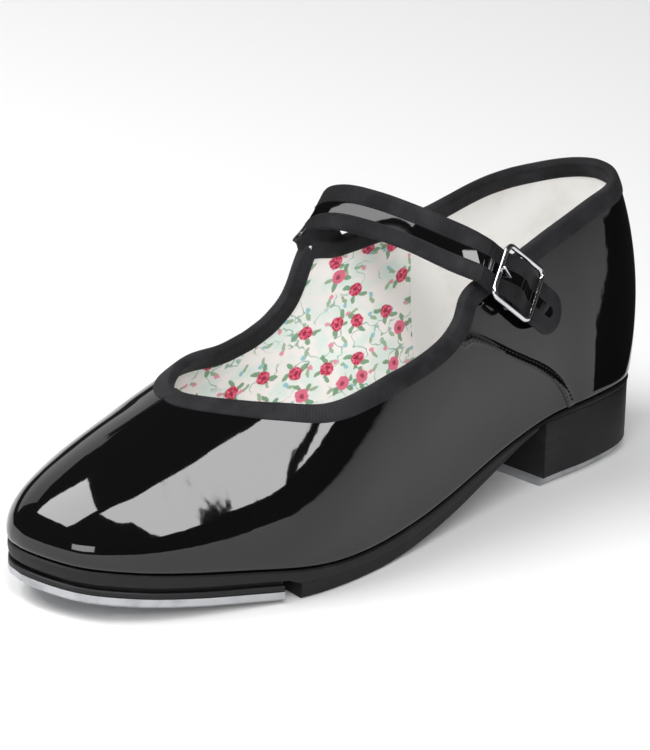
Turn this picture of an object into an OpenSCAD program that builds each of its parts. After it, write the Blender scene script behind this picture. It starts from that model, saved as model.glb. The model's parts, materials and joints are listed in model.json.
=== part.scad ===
// Tap shoe, left foot: strapped patent upper on a stacked sole with a toe tap and a heel tap.
// The floor is z = 0, the toe points along -X, the lateral (buckle) side is -Y.
// Plan points are given as [station, y]: the station is the distance forward of the heel seat's back edge.

/* [Size] */
// Length of the upper along the feather edge
shoe_length = 240; // [225:1:255]

/* [Upper] */
// Thickness of the patent outer
patent_t = 1.2; // [1:0.1:1.3]
// Thickness of the cotton lining
lining_t = 0.7; // [0.5:0.1:0.9]
// Thickness of the toe puff and the heel counter
stiffener_t = 0.8; // [0.6:0.1:0.8]
// Depth of the ribbed binding that wraps the topline
binding_w = 5; // [4:0.5:6]

/* [Strap and buckle] */
// Width of the instep strap
strap_w = 15; // [14:0.5:15]
// Diameter of the buckle's wire
wire_d = 1.9; // [1.6:0.1:2]
// Outside size of the square buckle frame
buckle_size = 20.4; // [20:0.1:21]

/* [Sole] */
// Thickness of the metal taps
tap_t = 3.2; // [2.8:0.1:3.4]
// Thickness of the board between the toe tap and the outsole
board_t = 2; // [1.6:0.1:2.2]
// Thickness of the insole board
insole_t = 1.8; // [1.4:0.1:2]
// Radius of the tap screws' shanks
screw_r = 1.2; // [1:0.1:1.4]

/* [Hidden] */

reference_length = 240;
// Station and y of the bounding box centre, which becomes the origin
centre_s = 118.38;
centre_y = -1.26;
gap = 0.05;             // glue line between layers that are stuck together
n_up = 8;               // cells up a shell
fine = 0.01;            // step for slopes

// Feather edge, heel back first, along the lateral side to the toe and back along the medial side
FEATHER = [[0, 5], [2.5, -9], [12, -19.5], [30, -24.5], [52, -26.5], [85, -32], [118, -38.5], [146, -43],
    [166, -42.5], [184, -37], [202, -31], [218, -23.5], [232, -11.5], [239, 8], [235, 21], [222, 31],
    [204, 37.5], [182, 41], [160, 38.5], [135, 29], [105, 20], [78, 20.5], [52, 25], [28, 28], [9, 21.5]];
t_toe = 13 / 25;        // share of the outline at the toe point
tip_s = 239;            // station of the toe point

// Tables of [station, value]
FEATHER_Z = [[0, 26], [45, 25.5], [70, 21.5], [100, 13.5], [125, 9.5], [150, 9], [175, 11.6], [190, 13.3],
    [210, 15.8], [225, 17.8], [243, 20.3]];
RIDGE_Z = [[0, 132], [60, 128], [95, 118], [120, 104], [145, 81], [165, 66.5], [184, 57.5], [196, 52.5],
    [209, 47], [221, 42]];
RIDGE_Y = [[0, 3], [60, -1], [110, 0], [150, 3], [190, 7], [225, 11]];
SPINE = [[0, 44], [60, 72], [120, 120], [170, 165], [200, 186], [225, 199], [243, 206]];
RISE = [[0, 0.56], [30, 0.56], [60, 0.56], [110, 0.62], [150, 0.68], [190, 0.56], [215, 0.5], [243, 0.46]];
LEAN_LATERAL = [[0, 0.67], [30, 0.45], [60, 0.45], [110, 0.56], [150, 0.55], [190, 0.46], [225, 0.46],
    [243, 0.54]];
LEAN_MEDIAL = [[0, 0.67], [30, 0.5], [60, 0.6], [85, 0.95], [115, 1.1], [135, 0.75], [150, 0.55],
    [190, 0.46], [225, 0.46], [243, 0.54]];
BULGE_LATERAL = [[0, 9.5], [30, 6], [60, 6], [110, 6], [150, 5], [190, 3.5], [243, 2.5]];
BULGE_MEDIAL = [[0, 9.5], [30, 6], [60, 8], [85, 12], [115, 14], [135, 9], [150, 5], [190, 3.5], [243, 2.5]];
// Topline: share of the rib's height at a station
TOP_LATERAL = [[0, 0.465], [15, 0.462], [31, 0.44], [42, 0.425], [55, 0.412], [70, 0.408], [84, 0.412],
    [89, 0.4], [93, 0.365], [99, 0.346], [106, 0.343], [114, 0.35], [122, 0.362], [136, 0.401],
    [151, 0.477], [165, 0.625], [176, 0.757]];
TOP_MEDIAL = [[0, 0.465], [10, 0.443], [23, 0.441], [42, 0.439], [61, 0.433], [75, 0.44], [86, 0.465],
    [96, 0.483], [104, 0.503], [111, 0.543], [115, 0.564], [117, 0.555], [118.3, 0.51],
    [120, 0.445], [122.5, 0.405], [127, 0.382], [131, 0.376], [138, 0.385], [150, 0.44], [165, 0.59], [176, 0.74]];
throat_s = 190;         // feather station whose rib meets the front of the throat
throat_turn = 0.045;    // how bluntly the throat's front is rounded
// Station of the vamp's rear edge against the share of the wall's height
SEAM_LATERAL = [[0, 42], [0.11, 46], [0.2, 50.5], [0.33, 59.5], [0.45, 69], [0.58, 79], [0.716, 88.6], [0.85, 94],
    [1, 97]];
SEAM_MEDIAL = [[0, 45], [0.12, 47], [0.25, 51], [0.39, 58], [0.48, 68], [0.55, 80], [0.6, 95], [0.63, 108],
    [0.66, 115], [0.75, 118.8], [0.875, 121.6], [0.95, 126], [1, 131]];
seam_gap = 0.1;
seam_drop = 0.993;      // the vamp's seam edge stands a little under the quarter's
lining_join = 70;       // station where the printed lining meets the plain one
counter_front = 42;     // station where the heel counter ends
counter_rows = 3;       // cells of height the counter covers
puff_s = 206;           // station where the toe puff starts
back_step = 0.015;      // share of the outline between columns round the heel
back_gap = 0.0002;      // half of the joint between the quarters

// Bottom stack
PAD_REAR = [55, 64];    // rear edge of the pad, lateral and medial
pad_front = 166;        // front edge of the ribbed pad
tap_rear = 172;         // rear edge of the toe tap
riser_rear = 170;       // where the outsole's underside reaches the height of the tap's riser
heel_front = 52;        // heel breast at the lateral corner
breast_skew = 8.6;      // how much further forward the breast's medial corner is
toe_spring = 8.8;
spring_start = 150;
spring_length = 92;
riser_t = 1.2;
heel_taper = 0.8;       // how much narrower the heel block is at its foot
heel_tap_inset = 1.6;
tap_edge = 0.8;         // rounding of the taps' lower edges
board_inset = 3.4;      // from the feather edge to the insole board, clear of the linings
filler_t = 1.05;
filler_inset = 6;
sock_t = 1;
shank_w = 12;
shank_t = 0.85;
PAD_Z = [[50, 23], [62, 19.5], [80, 12.5], [95, 7], [115, 2], [132, 0], [150, 0], [170, 0]];
OUTSOLE_Z = [[0, 24], [52, 23.4], [60, 22], [80, 15.6], [95, 10.6], [115, 6.2], [132, 4.6], [150, 4.5],
    [166, 5.4]];
TOE_SCREWS = [[225, 8], [186, -22], [186, 26]];
HEEL_SCREWS = [[13, 4], [40, -12], [43, 14]];
HEEL_NAILS = [[12, 5], [27, -11], [27, 16]];
head_r = 2.6;
head_h = 1.5;
slot_w = 0.8;
slot_depth = 0.6;
toe_screw_l = 9;
heel_screw_l = 14;
nail_r = 0.8;
nail_head_r = 1.9;
nail_l = 14;

// Strap: [mm along it from the buckle's middle, station, y, z, and its direction across from rear to front]
STRAP = [[-85.3, 112, 23.5, 87.9, 0.997, 0.02, 0.05], [-79.6, 112.6, 23.6, 93.5, 0.86, 0.02, -0.5],
    [-74.2, 110.5, 22.3, 98.3, 0.5, 0, -0.87], [-66.7, 106.3, 16.5, 100.4, 0.4, 0, -0.92],
    [-55.7, 99.5, 8, 99, 0.36, 0, -0.93], [-42.8, 92, -2, 95.8, 0.3, 0.1, -0.95],
    [-28.4, 86.5, -15, 92.8, 0.42, 0, -0.91], [-15, 81.5, -28.65, 90.1, 0.664, -0.371, -0.649],
    [-12, 79.33, -28.95, 88.06, 0.664, -0.371, -0.649], [0, 70.66, -30.15, 79.86, 0.664, -0.371, -0.649],
    [12, 61.98, -31.35, 71.66, 0.664, -0.371, -0.649], [14, 60.53, -31.55, 70.3, 0.664, -0.371, -0.649],
    [19, 56.9, -31.6, 66.9, 0.664, -0.371, -0.649], [26, 51.8, -30.9, 62.2, 0.664, -0.371, -0.649]];
strap_patent_t = 0.8;
strap_lining_t = 0.6;
flap_w = 5.6;           // how far the strap's binding reaches in from each edge
flap_t = 0.3;
wrap_gap = 0.22;        // clearance between the strap's edge and its binding
wrap_t = 0.55;          // how far the binding stands out past the strap's edge
strap_end = 11.6;       // past the buckle's lower bar
tip_start = 12;
tip_l = 25;
bump_rise = 3.3;             // rise of the strap over the centre bar
frame_lift = 2;       // the frame's plane above the strap
bar_drop = 2;         // the centre bar below the frame's plane
bar_r = 0.7;
corner_r = 2.5;
ring_t = 0.85;
prong_r = 0.7;
prong_l = 10.7;
slot_rear = 6;
slot_front = 2;
slot_half = 1.3;
chape_t = 0.5;
// Strip of the chape in the buckle's frame: [x, top, underside, slope across]
CHAPE = [[0.4, -2.66, -3.15, 0], [3, -3.35, -3.9, 0.05], [6, -4.5, -5.1, 0.12], [9, -5.4, -6.05, 0.16],
    [13, -5.75, -6.4, 0.16], [17, -6, -6.65, 0.17]];
CHAPE_Y = [-4.5, 0, 4.5];

// ---- curves and tables ----

// Catmull-Rom value between b and c at share f
function catmull(a, b, c, d, f) =
    0.5 * (2 * b + (c - a) * f + (2 * a - 5 * b + 4 * c - d) * f * f + (3 * b - a - 3 * c + d) * f * f * f);
function outline(t) =
    let (n = len(FEATHER), x = (t - floor(t)) * n, i = floor(x))
    catmull(FEATHER[(i + n - 1) % n], FEATHER[i % n], FEATHER[(i + 1) % n], FEATHER[(i + 2) % n], x - i);
function hermite(v0, m0, v1, m1, h, f) =
    (2 * f * f * f - 3 * f * f + 1) * v0 + (f * f * f - 2 * f * f + f) * h * m0
        + (3 * f * f - 2 * f * f * f) * v1 + (f * f * f - f * f) * h * m1;
function slope_at(tab, k) =
    let (a = max(k - 1, 0), b = min(k + 1, len(tab) - 1)) (tab[b][1] - tab[a][1]) / (tab[b][0] - tab[a][0]);
function row_of(tab, x, k = 0) = k >= len(tab) - 2 || tab[k + 1][0] > x ? k : row_of(tab, x, k + 1);
function look(tab, x0) =
    let (x = min(max(x0, tab[0][0]), tab[len(tab) - 1][0]), i = row_of(tab, x), h = tab[i + 1][0] - tab[i][0])
    hermite(tab[i][1], slope_at(tab, i), tab[i + 1][1], slope_at(tab, i + 1), h, (x - tab[i][0]) / h);
function unit(v) = v / norm(v);
function backwards(v) = [for (i = [len(v) - 1:-1:0]) v[i]];

// Outline share at a station, by bisection; the heel's back is 0 and the toe's tip is t_toe
function share(s, medial, lo = 0, hi = 1, n = 24) =
    s >= tip_s ? t_toe
    : n == 0 ? (medial ? 1 - (lo + hi) / 2 * (1 - t_toe) : (lo + hi) / 2 * t_toe)
    : let (m = (lo + hi) / 2, t = medial ? 1 - m * (1 - t_toe) : m * t_toe)
      outline(t)[0] < s ? share(s, medial, m, hi, n - 1) : share(s, medial, lo, m, n - 1);
// Where the topline cuts the rib of a station; the throat's front is rounded
function top_w(s, medial) =
    let (tab = medial ? TOP_MEDIAL : TOP_LATERAL, end = tab[len(tab) - 1], h = sqrt(throat_s - end[0]),
        slope = slope_at(tab, len(tab) - 1))
    s >= throat_s ? 1
    : s <= end[0] ? look(tab, s)
    : 1 - hermite(0, throat_turn, 1 - end[1], 2 * h * slope, h, sqrt(throat_s - s) / h);

// ---- the last: ribs that rise from the feather edge to the ridge ----

function outwards(t) = let (d = unit(outline(t + fine / 4) - outline(t - fine / 4))) [d[1], -d[0]];
function rib(t) =
    let (f = outline(t), out = outwards(t), s = f[0], medial = t - floor(t) > t_toe, fz = look(FEATHER_Z, s),
        rs = look(SPINE, s), rz = look(RIDGE_Z, rs), ry = look(RIDGE_Y, rs),
        pitch = (look(RIDGE_Z, rs + 1) - look(RIDGE_Z, rs - 1)) / 2,
        bulge = look(medial ? BULGE_MEDIAL : BULGE_LATERAL, s), lean = look(medial ? LEAN_MEDIAL : LEAN_LATERAL, s))
    [[f[0], f[1], fz],
     [f[0] + out[0] * bulge, f[1] + out[1] * bulge, fz + look(RISE, s) * (rz - fz)],
     [rs + lean * (f[0] - rs), ry + lean * (f[1] - ry), rz + pitch * lean * (f[0] - rs)],
     [rs, ry, rz]];
function last(t, w) =
    let (c = rib(t), v = 1 - w) v * v * v * c[0] + 3 * w * v * v * c[1] + 3 * w * w * v * c[2] + w * w * w * c[3];
function ridge(s) = let (rs = look(SPINE, s)) [rs, look(RIDGE_Y, rs), look(RIDGE_Z, rs)];
// On the ridge the normal stands square to the ridge line, so both halves agree
function ridge_normal(s) =
    let (rs = look(SPINE, s)) unit([look(RIDGE_Z, rs - 1) - look(RIDGE_Z, rs + 1), 0, 2]);
function normal(t, w) =
    w > 0.995 ? ridge_normal(outline(t)[0])
    : unit(cross(last(t + fine / 4, w) - last(t - fine / 4, w), last(t, w + fine / 2) - last(t, w - fine / 2)));
function skin(t, w, depth) = last(t, w) - depth * normal(t, w);

// Station coordinates to the part's frame
function place(p) = [centre_s - p[0], p[1] - centre_y, p[2]];

// ---- columns of a shell: [outline share or undef, station or function of the height, medial] ----

function column(s, medial) = [share(s, medial), s, medial];
function columns(stations, medial) = [for (s = stations) column(s, medial)];
function column_at(t) = [t, outline(t)[0], t - floor(t) > t_toe];
// Columns between a slanting seam and the straight column at station s
function fan(seam, shift, s, cells, medial) =
    [for (k = [0:cells - 1]) [undef, function (a) let (edge = look(seam, a) + shift) edge
        + (s - edge) * pow(k / cells, 1.4), medial, k == 0 && shift > 0 ? seam_drop : 1]];
// Point and outward normal of a column at share a of the wall's height
function foot_of(c, a) =
    let (s = is_num(c[1]) ? c[1] : c[1](a), t = is_undef(c[0]) ? share(s, c[2]) : c[0],
        w = a * top_w(s, c[2]) * (len(c) > 3 ? c[3] : 1))
    s >= throat_s && w > 0.999 ? [ridge(s), ridge_normal(s)] : [last(t, w), normal(t, w)];
function net(cols, rows = n_up) = [for (c = cols) [for (j = [0:rows]) foot_of(c, j / n_up)]];
function layer(net, depth) = [for (col = net) [for (q = col) q[0] - depth * q[1]]];

// Closed solid between two point grids of the same size: outer faces out, inner faces in, rims walled
module shell_between(outer, inner, sewn = [0, 0]) {
    n = len(outer) - 1;
    m = len(outer[0]) - 1;
    size = (n + 1) * (m + 1);
    points = [for (g = [outer, inner]) for (row = g) for (p = row) place(p)];
    function a(i, j) = i * (m + 1) + j;
    function b(i, j) = size + a(i, j);
    faces = [
        for (i = [0:n - 1]) for (j = [0:m - 1]) each [
            [a(i, j), a(i + 1, j), a(i + 1, j + 1)], [a(i, j), a(i + 1, j + 1), a(i, j + 1)],
            [b(i, j), b(i + 1, j + 1), b(i + 1, j)], [b(i, j), b(i, j + 1), b(i + 1, j + 1)]],
        for (j = [0:m - 1]) each [[a(0, j), a(0, j + 1), b(0, j + 1)], [a(0, j), b(0, j + 1), b(0, j)],
            [a(n, j), b(n, j + 1), a(n, j + 1)], [a(n, j), b(n, j), b(n, j + 1)]],
        for (i = [0:n - 1]) each [[a(i, 0), b(i + 1, 0), a(i + 1, 0)], [a(i, 0), b(i, 0), b(i + 1, 0)]],
        for (i = [0:n - 1]) if (i < sewn[0] || i >= sewn[1]) each
            [[a(i, m), a(i + 1, m), b(i + 1, m)], [a(i, m), b(i + 1, m), b(i, m)]]];
    polyhedron(points = points, faces = faces);
}
// One layer of the upper over a run of columns
module sheet(cols, depth, thick, rows = n_up) {
    points = net(cols, rows);
    closed = [for (i = [0:len(cols) - 1]) if (rows == n_up && is_num(cols[i][1]) && cols[i][1] >= throat_s) i];
    sewn = len(closed) > 0 ? [closed[0], closed[len(closed) - 1]] : [0, 0];
    shell_between(layer(points, depth), layer(points, depth + thick), sewn);
}

// ---- columns used by the layers ----

TOE = [198, puff_s, 214, 221, 227, 232, 236, 238.3];
FRONT = [133, 138, 144, 151, 158, 165, 171, 176, 180.4, 184.2, 187.4, 189.4, throat_s];
SIDE = [104, 110, 116, 123];
TAB = [104, 110, 114, 116.5, 118, 119.5, 121, 123.5, 127];
REAR = [36, counter_front];
back_lateral = [for (k = [0:8]) column_at(max(k * back_step, back_gap))];
back_medial = [for (k = [5:-1:0]) column_at(1 - max(k * back_step, back_gap))];
toe_columns = concat(columns(TOE, false), [column(tip_s, false)], columns(backwards(TOE), true));

module vamp() color("#141416") {
    sheet(concat(fan(SEAM_LATERAL, seam_gap, SIDE[0], 5, false), columns(SIDE, false), columns([128], false),
        columns(FRONT, false),
        toe_columns, columns(backwards(FRONT), true), backwards(fan(SEAM_MEDIAL, seam_gap, FRONT[0], 9, true))),
        0, patent_t);
}

module quarter_lateral() color("#17171a") {
    sheet(concat(back_lateral, columns(REAR, false),
        backwards(fan(SEAM_LATERAL, -seam_gap, counter_front, 5, false))), 0, patent_t);
}
module quarter_medial() color("#17171a") {
    sheet(concat(fan(SEAM_MEDIAL, -seam_gap, counter_front, 14, true), columns(backwards(REAR), true),
        back_medial), 0, patent_t);
}

lining_depth = patent_t + stiffener_t + 2 * gap;
lining_side = [70, 77, 84, 90, 97];
module vamp_lining() color("#e8d9d6") {
    sheet(concat(columns(lining_side, false), columns(SIDE, false), columns([128], false), columns(FRONT, false),
        toe_columns,
        columns(backwards(FRONT), true), columns(backwards(TAB), true), columns(backwards(lining_side), true)),
        lining_depth, lining_t);
}
module quarter_lining() color("#f2f0ec") {
    side = [49, 56, 63, lining_join - seam_gap];
    sheet(concat(columns(backwards(side), true), columns(backwards(REAR), true), back_medial, back_lateral,
        columns(REAR, false), columns(side, false)), lining_depth, lining_t);
}
module toe_puff() color("#b9a98c") {
    front = [for (s = TOE) if (s >= puff_s) s];
    sheet(concat(columns(front, false), [column(tip_s, false)], columns(backwards(front), true)),
        patent_t + gap, stiffener_t);
}
module heel_counter() color("#a8977a") {
    sheet(concat(columns(backwards(REAR), true), back_medial, back_lateral, columns(REAR, false)),
        patent_t + gap, stiffener_t, counter_rows);
}

// ---- bindings: a U section folded over the topline ----

fold_out = 0.6;         // clearance between the binding and the patent
fold_in = 0.65;          // and between the binding and the lining
fold_t = 0.4;
// Frame on the topline at column k: [share, height, and their change per mm square to the edge]
function edge_at(cols, k) =
    let (p = cols[max(k - 1, 0)], c = cols[k], q = cols[min(k + 1, len(cols) - 1)], w = top_w(c[1], c[2]),
        run = last(q[0], top_w(q[1], q[2])) - last(p[0], top_w(p[1], p[2])), d = unit(cross(run, normal(c[0], w))),
        a = (last(c[0] + fine / 4, w) - last(c[0] - fine / 4, w)) * 2 / fine,
        b = (last(c[0], w + fine / 2) - last(c[0], w - fine / 2)) / fine, det = (a * a) * (b * b) - (a * b) * (a * b))
    [c[0], w, ((a * d) * (b * b) - (b * d) * (a * b)) / det, ((a * a) * (b * d) - (a * b) * (a * d)) / det];
function fold_point(e, p) = skin(e[0] + p[0] * e[2], e[1] + p[0] * e[3], p[1]);
module binding(cols) {
    under = lining_depth + lining_t + fold_in;
    mid = (patent_t + lining_depth) / 2;
    out = [[binding_w, -fold_out - fold_t], [binding_w / 2, -fold_out - fold_t], [0, -fold_out - fold_t],
        [-0.8, -0.2], [-1, mid], [-0.8, under + 0.1], [0, under + fold_t], [binding_w / 2, under + fold_t],
        [binding_w, under + fold_t]];
    inside = [[binding_w, -fold_out], [binding_w / 2, -fold_out], [0, -fold_out], [-0.35, 0],
        [-0.5, mid], [-0.35, under - fold_out], [0, under], [binding_w / 2, under], [binding_w, under]];
    frames = [for (k = [0:len(cols) - 1]) edge_at(cols, k)];
    shell_between([for (e = frames) [for (p = out) fold_point(e, p)]],
        [for (e = frames) [for (p = inside) fold_point(e, p)]]);
}
module collar_binding() color("#26262a") {
    side = [50, 58, 66, 75, 83];
    binding(concat(columns([102, 97, 92], true), columns(backwards(side), true), columns(backwards(REAR), true), back_medial,
        [column_at(0)], [for (k = [1:len(back_lateral) - 1]) back_lateral[k]], columns(REAR, false),
        columns(side, false)));
}
module throat_binding() color("#26262a") {
    front = [130, 137, 144, 151, 158, 165, 171, 176, 180.4, 184.2, 187.4, 189.4];
    binding(concat(columns([86.5, 88.5, 91, 94, 98, 102, 107, 112, 118, 124], false), columns(front, false),
        [column(throat_s, false)], columns(backwards(front), true), columns([127.5, 124.5, 122.3, 120.8, 119.7, 118.8, 118.1], true)));
}

// ---- bottom ----

function feather_z(s) = look(FEATHER_Z, s);
function floor_z(s) = s <= spring_start ? 0 : toe_spring * pow((s - spring_start) / spring_length, 1.6);
function under_z(s) =
    let (seat = floor_z(s) + tap_t + board_t + riser_t + 3 * gap)
    s <= pad_front ? look(OUTSOLE_Z, s) : s >= riser_rear ? seat
    : look(OUTSOLE_Z, pad_front) + (seat - look(OUTSOLE_Z, pad_front)) * (s - pad_front) / (riser_rear - pad_front);
function inset_at(t, inset) = outline(t) - inset * outwards(t);
function shares(stations, medial) = [for (s = stations) share(s, medial)];

// Solid of layers stacked over the outline, from the heel forwards; each layer is [inset, height at a station].
// The first or last pair of points may be a tip.
module slab(lateral, medial, layers) {
    n = len(lateral) - 1;
    m = len(layers) - 1;
    points = [for (l = layers) for (side = [lateral, medial]) for (t = side)
        let (p = inset_at(t, l[0])) place([p[0], p[1], l[1](p[0])])];
    function l(k, i) = k * 2 * (n + 1) + i;
    function r(k, i) = (k * 2 + 1) * (n + 1) + i;
    tip = [lateral[0] == medial[0], lateral[n] == medial[n]];
    faces = [
        for (i = [0:n - 1]) each concat(
            i == 0 && tip[0] ? [] : [[l(0, i), r(0, i), r(0, i + 1)], [l(m, i), r(m, i + 1), r(m, i)]],
            i == n - 1 && tip[1] ? [] : [[l(0, i), r(0, i + 1), l(0, i + 1)], [l(m, i), l(m, i + 1), r(m, i + 1)]]),
        for (i = [0:n - 1]) for (k = [0:m - 1]) each [
            [l(k, i), l(k, i + 1), l(k + 1, i + 1)], [l(k, i), l(k + 1, i + 1), l(k + 1, i)],
            [r(k, i), r(k + 1, i), r(k + 1, i + 1)], [r(k, i), r(k + 1, i + 1), r(k, i + 1)]],
        if (!tip[0]) for (k = [0:m - 1]) each [
            [l(k, 0), l(k + 1, 0), r(k + 1, 0)], [l(k, 0), r(k + 1, 0), r(k, 0)]],
        if (!tip[1]) for (k = [0:m - 1]) each [
            [l(k, n), r(k, n), r(k + 1, n)], [l(k, n), r(k + 1, n), l(k + 1, n)]]];
    polyhedron(points = points, faces = faces);
}
BACK = [[0.011, 0.006], [0.022, 0.012], [0.032, 0.018], [0.042, 0.024], [0.052, 0.03], [0.062, 0.036], [0.072, 0.043],
    [0.082, 0.05], [0.091, 0.058], [0.1, 0.066], [0.11, 0.074], [0.12, 0.082]];
TIP = [175, 180, 185, 190, 196, 202, 207, 212, 216, 220, 224, 227, 229.5, 232, 234, 236, 237.3, 238.3];
MIDDLE = [38, 46, 54, 62, 70, 78, 87, 96, 105, 114, 123, 132, 142, 152, 160, 166, 170];
function back_shares(medial) = concat([0], [for (t = BACK) medial ? 1 - t[1] : t[0]]);
function full(medial) = concat(back_shares(medial), shares(concat(MIDDLE, TIP), medial), [t_toe]);
function toe_run(medial) = concat(shares(concat([tap_rear], TIP), medial), [t_toe]);

module insole_board() color("#c9b795") difference() {
    slab(full(false), full(true), [[board_inset, function (s) feather_z(s) + filler_t + 2 * gap],
        [board_inset, function (s) feather_z(s) + filler_t + 2 * gap + insole_t]]);
    nails(gap);
}
module sock_lining() color("#e3ddd2") {
    base = filler_t + 3 * gap + insole_t;
    slab(full(false), full(true), [[board_inset, function (s) feather_z(s) + base],
        [board_inset, function (s) feather_z(s) + base + sock_t]]);
}
module shank() color("#9aa0a6") {
    run = [for (s = [35:6:125]) s];
    translate([0, shank_w / 2, 0])
        rotate([90, 0, 0])
            linear_extrude(shank_w)
                polygon(concat([for (s = run) [centre_s - s, feather_z(s) + gap]],
                    [for (s = backwards(run)) [centre_s - s, feather_z(s) + shank_t]]));
}
module bottom_filler() color("#8a6a4a") {
    run = [130, 138, 146, 154, 162, 172, 182, 192, 202, 212, 222];
    slab(shares(run, false), shares(run, true), [[filler_inset, function (s) feather_z(s) + gap],
        [filler_inset, function (s) feather_z(s) + filler_t]]);
}
module outsole() color("#1c1c1e") difference() {
    slab(full(false), full(true), [[0.3, function (s) under_z(s)], [0, function (s) (under_z(s) + feather_z(s)) / 2],
        [0.2, function (s) feather_z(s) - 2 * gap]]);
    nails(gap);
    toe_screws(2 * gap);
}
module sole_pad() color("#19191b") {
    run = [for (s = MIDDLE) if (s > PAD_REAR[1] && s <= pad_front) s];
    slab(shares(concat([PAD_REAR[0]], run), false), shares(concat([PAD_REAR[1]], run), true),
        [[0.9, function (s) max(look(PAD_Z, s), 0)], [0.8, function (s) look(OUTSOLE_Z, s) - 2 * gap]]);
}
module toe_layer(low, thick, inset) {
    slab(toe_run(false), toe_run(true), [[inset, function (s) floor_z(s) + low],
        [inset, function (s) floor_z(s) + low + thick]]);
}
module tap_riser() color("#222224") difference() {
    toe_layer(tap_t + board_t + 2 * gap, riser_t, 2);
    toe_screws(2 * gap);
}
module tap_board() color("#202022") difference() {
    toe_layer(tap_t + gap, board_t, 0.1);
    toe_screws(2 * gap);
}
module toe_tap() color("#c8c9cc") difference() {
    slab(toe_run(false), toe_run(true), [[tap_edge, function (s) floor_z(s)], [0, function (s) floor_z(s) + tap_edge],
        [0, function (s) floor_z(s) + tap_t]]);
    toe_screws(2 * gap);
}

// Countersunk screw standing on its head, slot down; grow makes the bore
module screw(length, grow = 0) {
    difference() {
        union() {
            cylinder(r1 = head_r + grow, r2 = screw_r + grow, h = head_h, $fn = 32);
            cylinder(r = screw_r + grow, h = length + grow, $fn = 24);
        }
        if (grow == 0)
            cube([2 * head_r + 1, slot_w, 2 * slot_depth], center = true);
    }
}
module toe_screws(grow = 0) {
    for (p = TOE_SCREWS)
        translate(place([p[0], p[1], floor_z(p[0]) + (grow == 0 ? gap : 0)]))
            rotate([0, atan((floor_z(p[0] + 1) - floor_z(p[0] - 1)) / 2) * -1, 0])
                screw(toe_screw_l, grow);
}
module toe_tap_screws() color("#b9bbbf") toe_screws();

heel_lateral = concat(back_shares(false), shares([37, 44, heel_front], false));
heel_medial = concat(back_shares(true), shares([40, 50, heel_front + breast_skew], true));
module heel_block() color("#18181a") difference() {
    slab(heel_lateral, heel_medial, [[heel_taper, function (s) tap_t + gap],
        [0.3, function (s) look(OUTSOLE_Z, s) - 3 * gap]]);
    heel_screws(2 * gap);
    nails(gap);
}
module heel_tap() color("#c8c9cc") difference() {
    slab(heel_lateral, heel_medial, [[heel_taper + heel_tap_inset + tap_edge, function (s) 0],
        [heel_taper + heel_tap_inset, function (s) tap_edge], [heel_taper + heel_tap_inset, function (s) tap_t]]);
    heel_screws(2 * gap);
}
module heel_screws(grow = 0) {
    for (p = HEEL_SCREWS)
        translate(place([p[0], p[1], grow == 0 ? gap : 0]))
            screw(heel_screw_l, grow);
}
module heel_tap_screws() color("#b9bbbf") heel_screws();
module nails(grow = 0) {
    for (p = HEEL_NAILS)
        translate(place([p[0], p[1], feather_z(p[0]) + filler_t + 2 * gap + insole_t - nail_l])) {
            cylinder(r = nail_r + grow, h = nail_l - 0.5, $fn = 16);
            translate([0, 0, nail_l - 0.8 - grow])
                cylinder(r = nail_head_r + grow, h = 0.8 + 2 * grow, $fn = 24);
        }
}
module heel_nails() color("#8d9095") nails();

// ---- strap and buckle ----

strap_half = strap_w / 2;
pitch_w = (buckle_size - wire_d) / 2;
STRAP_COLUMNS = [for (k = [1:6]) [for (r = STRAP) [r[0], r[k]]]];
function strap_mid(x) = [for (k = [0:2]) look(STRAP_COLUMNS[k], x)];
function strap_across(x) = unit([for (k = [3:5]) look(STRAP_COLUMNS[k], x)]);
function strap_up(x) = unit(cross(strap_mid(x + 0.5) - strap_mid(x - 0.5), strap_across(x)));
function bump(x) = abs(x) >= pitch_w ? 0 : bump_rise * (1 + cos(180 * x / pitch_w)) / 2;
// Point of the strap: x along it, y across it, z above its outer face
function on_strap(x, y, z) = strap_mid(x) + y * strap_across(x) + (z + bump(x)) * strap_up(x);
strap_run = concat([for (x = [-85.2:4.62:-15.9]) x], [-12.5, -10.5, -9.25, -7.8, -6.2, -4.6, -3, -1.5, 0, 1.5, 3, 4.6,
    6.2, 7.8, 9.25, 10.5, strap_end]);
// Tip: straight, then a half circle
tip_bend = tip_l - strap_half;
tip_run = concat([for (x = [tip_start, 14, 16]) [x, strap_half]],
    [for (a = [0:13.5:81]) [tip_bend + strap_half * sin(a), strap_half * cos(a)]]);

// Flat layer of the strap between two heights; run holds [x, half width]
module strap_layer(run, high, low) {
    function across(h) = let (a = max(h - flap_w, 0.3 * h), b = (a + h) / 2) [-h, -b, -a, 0, a, b, h];
    function face(z) = [for (c = run) [for (y = across(c[1])) on_strap(c[0], y, z)]];
    shell_between(face(high), face(low));
}
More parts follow.
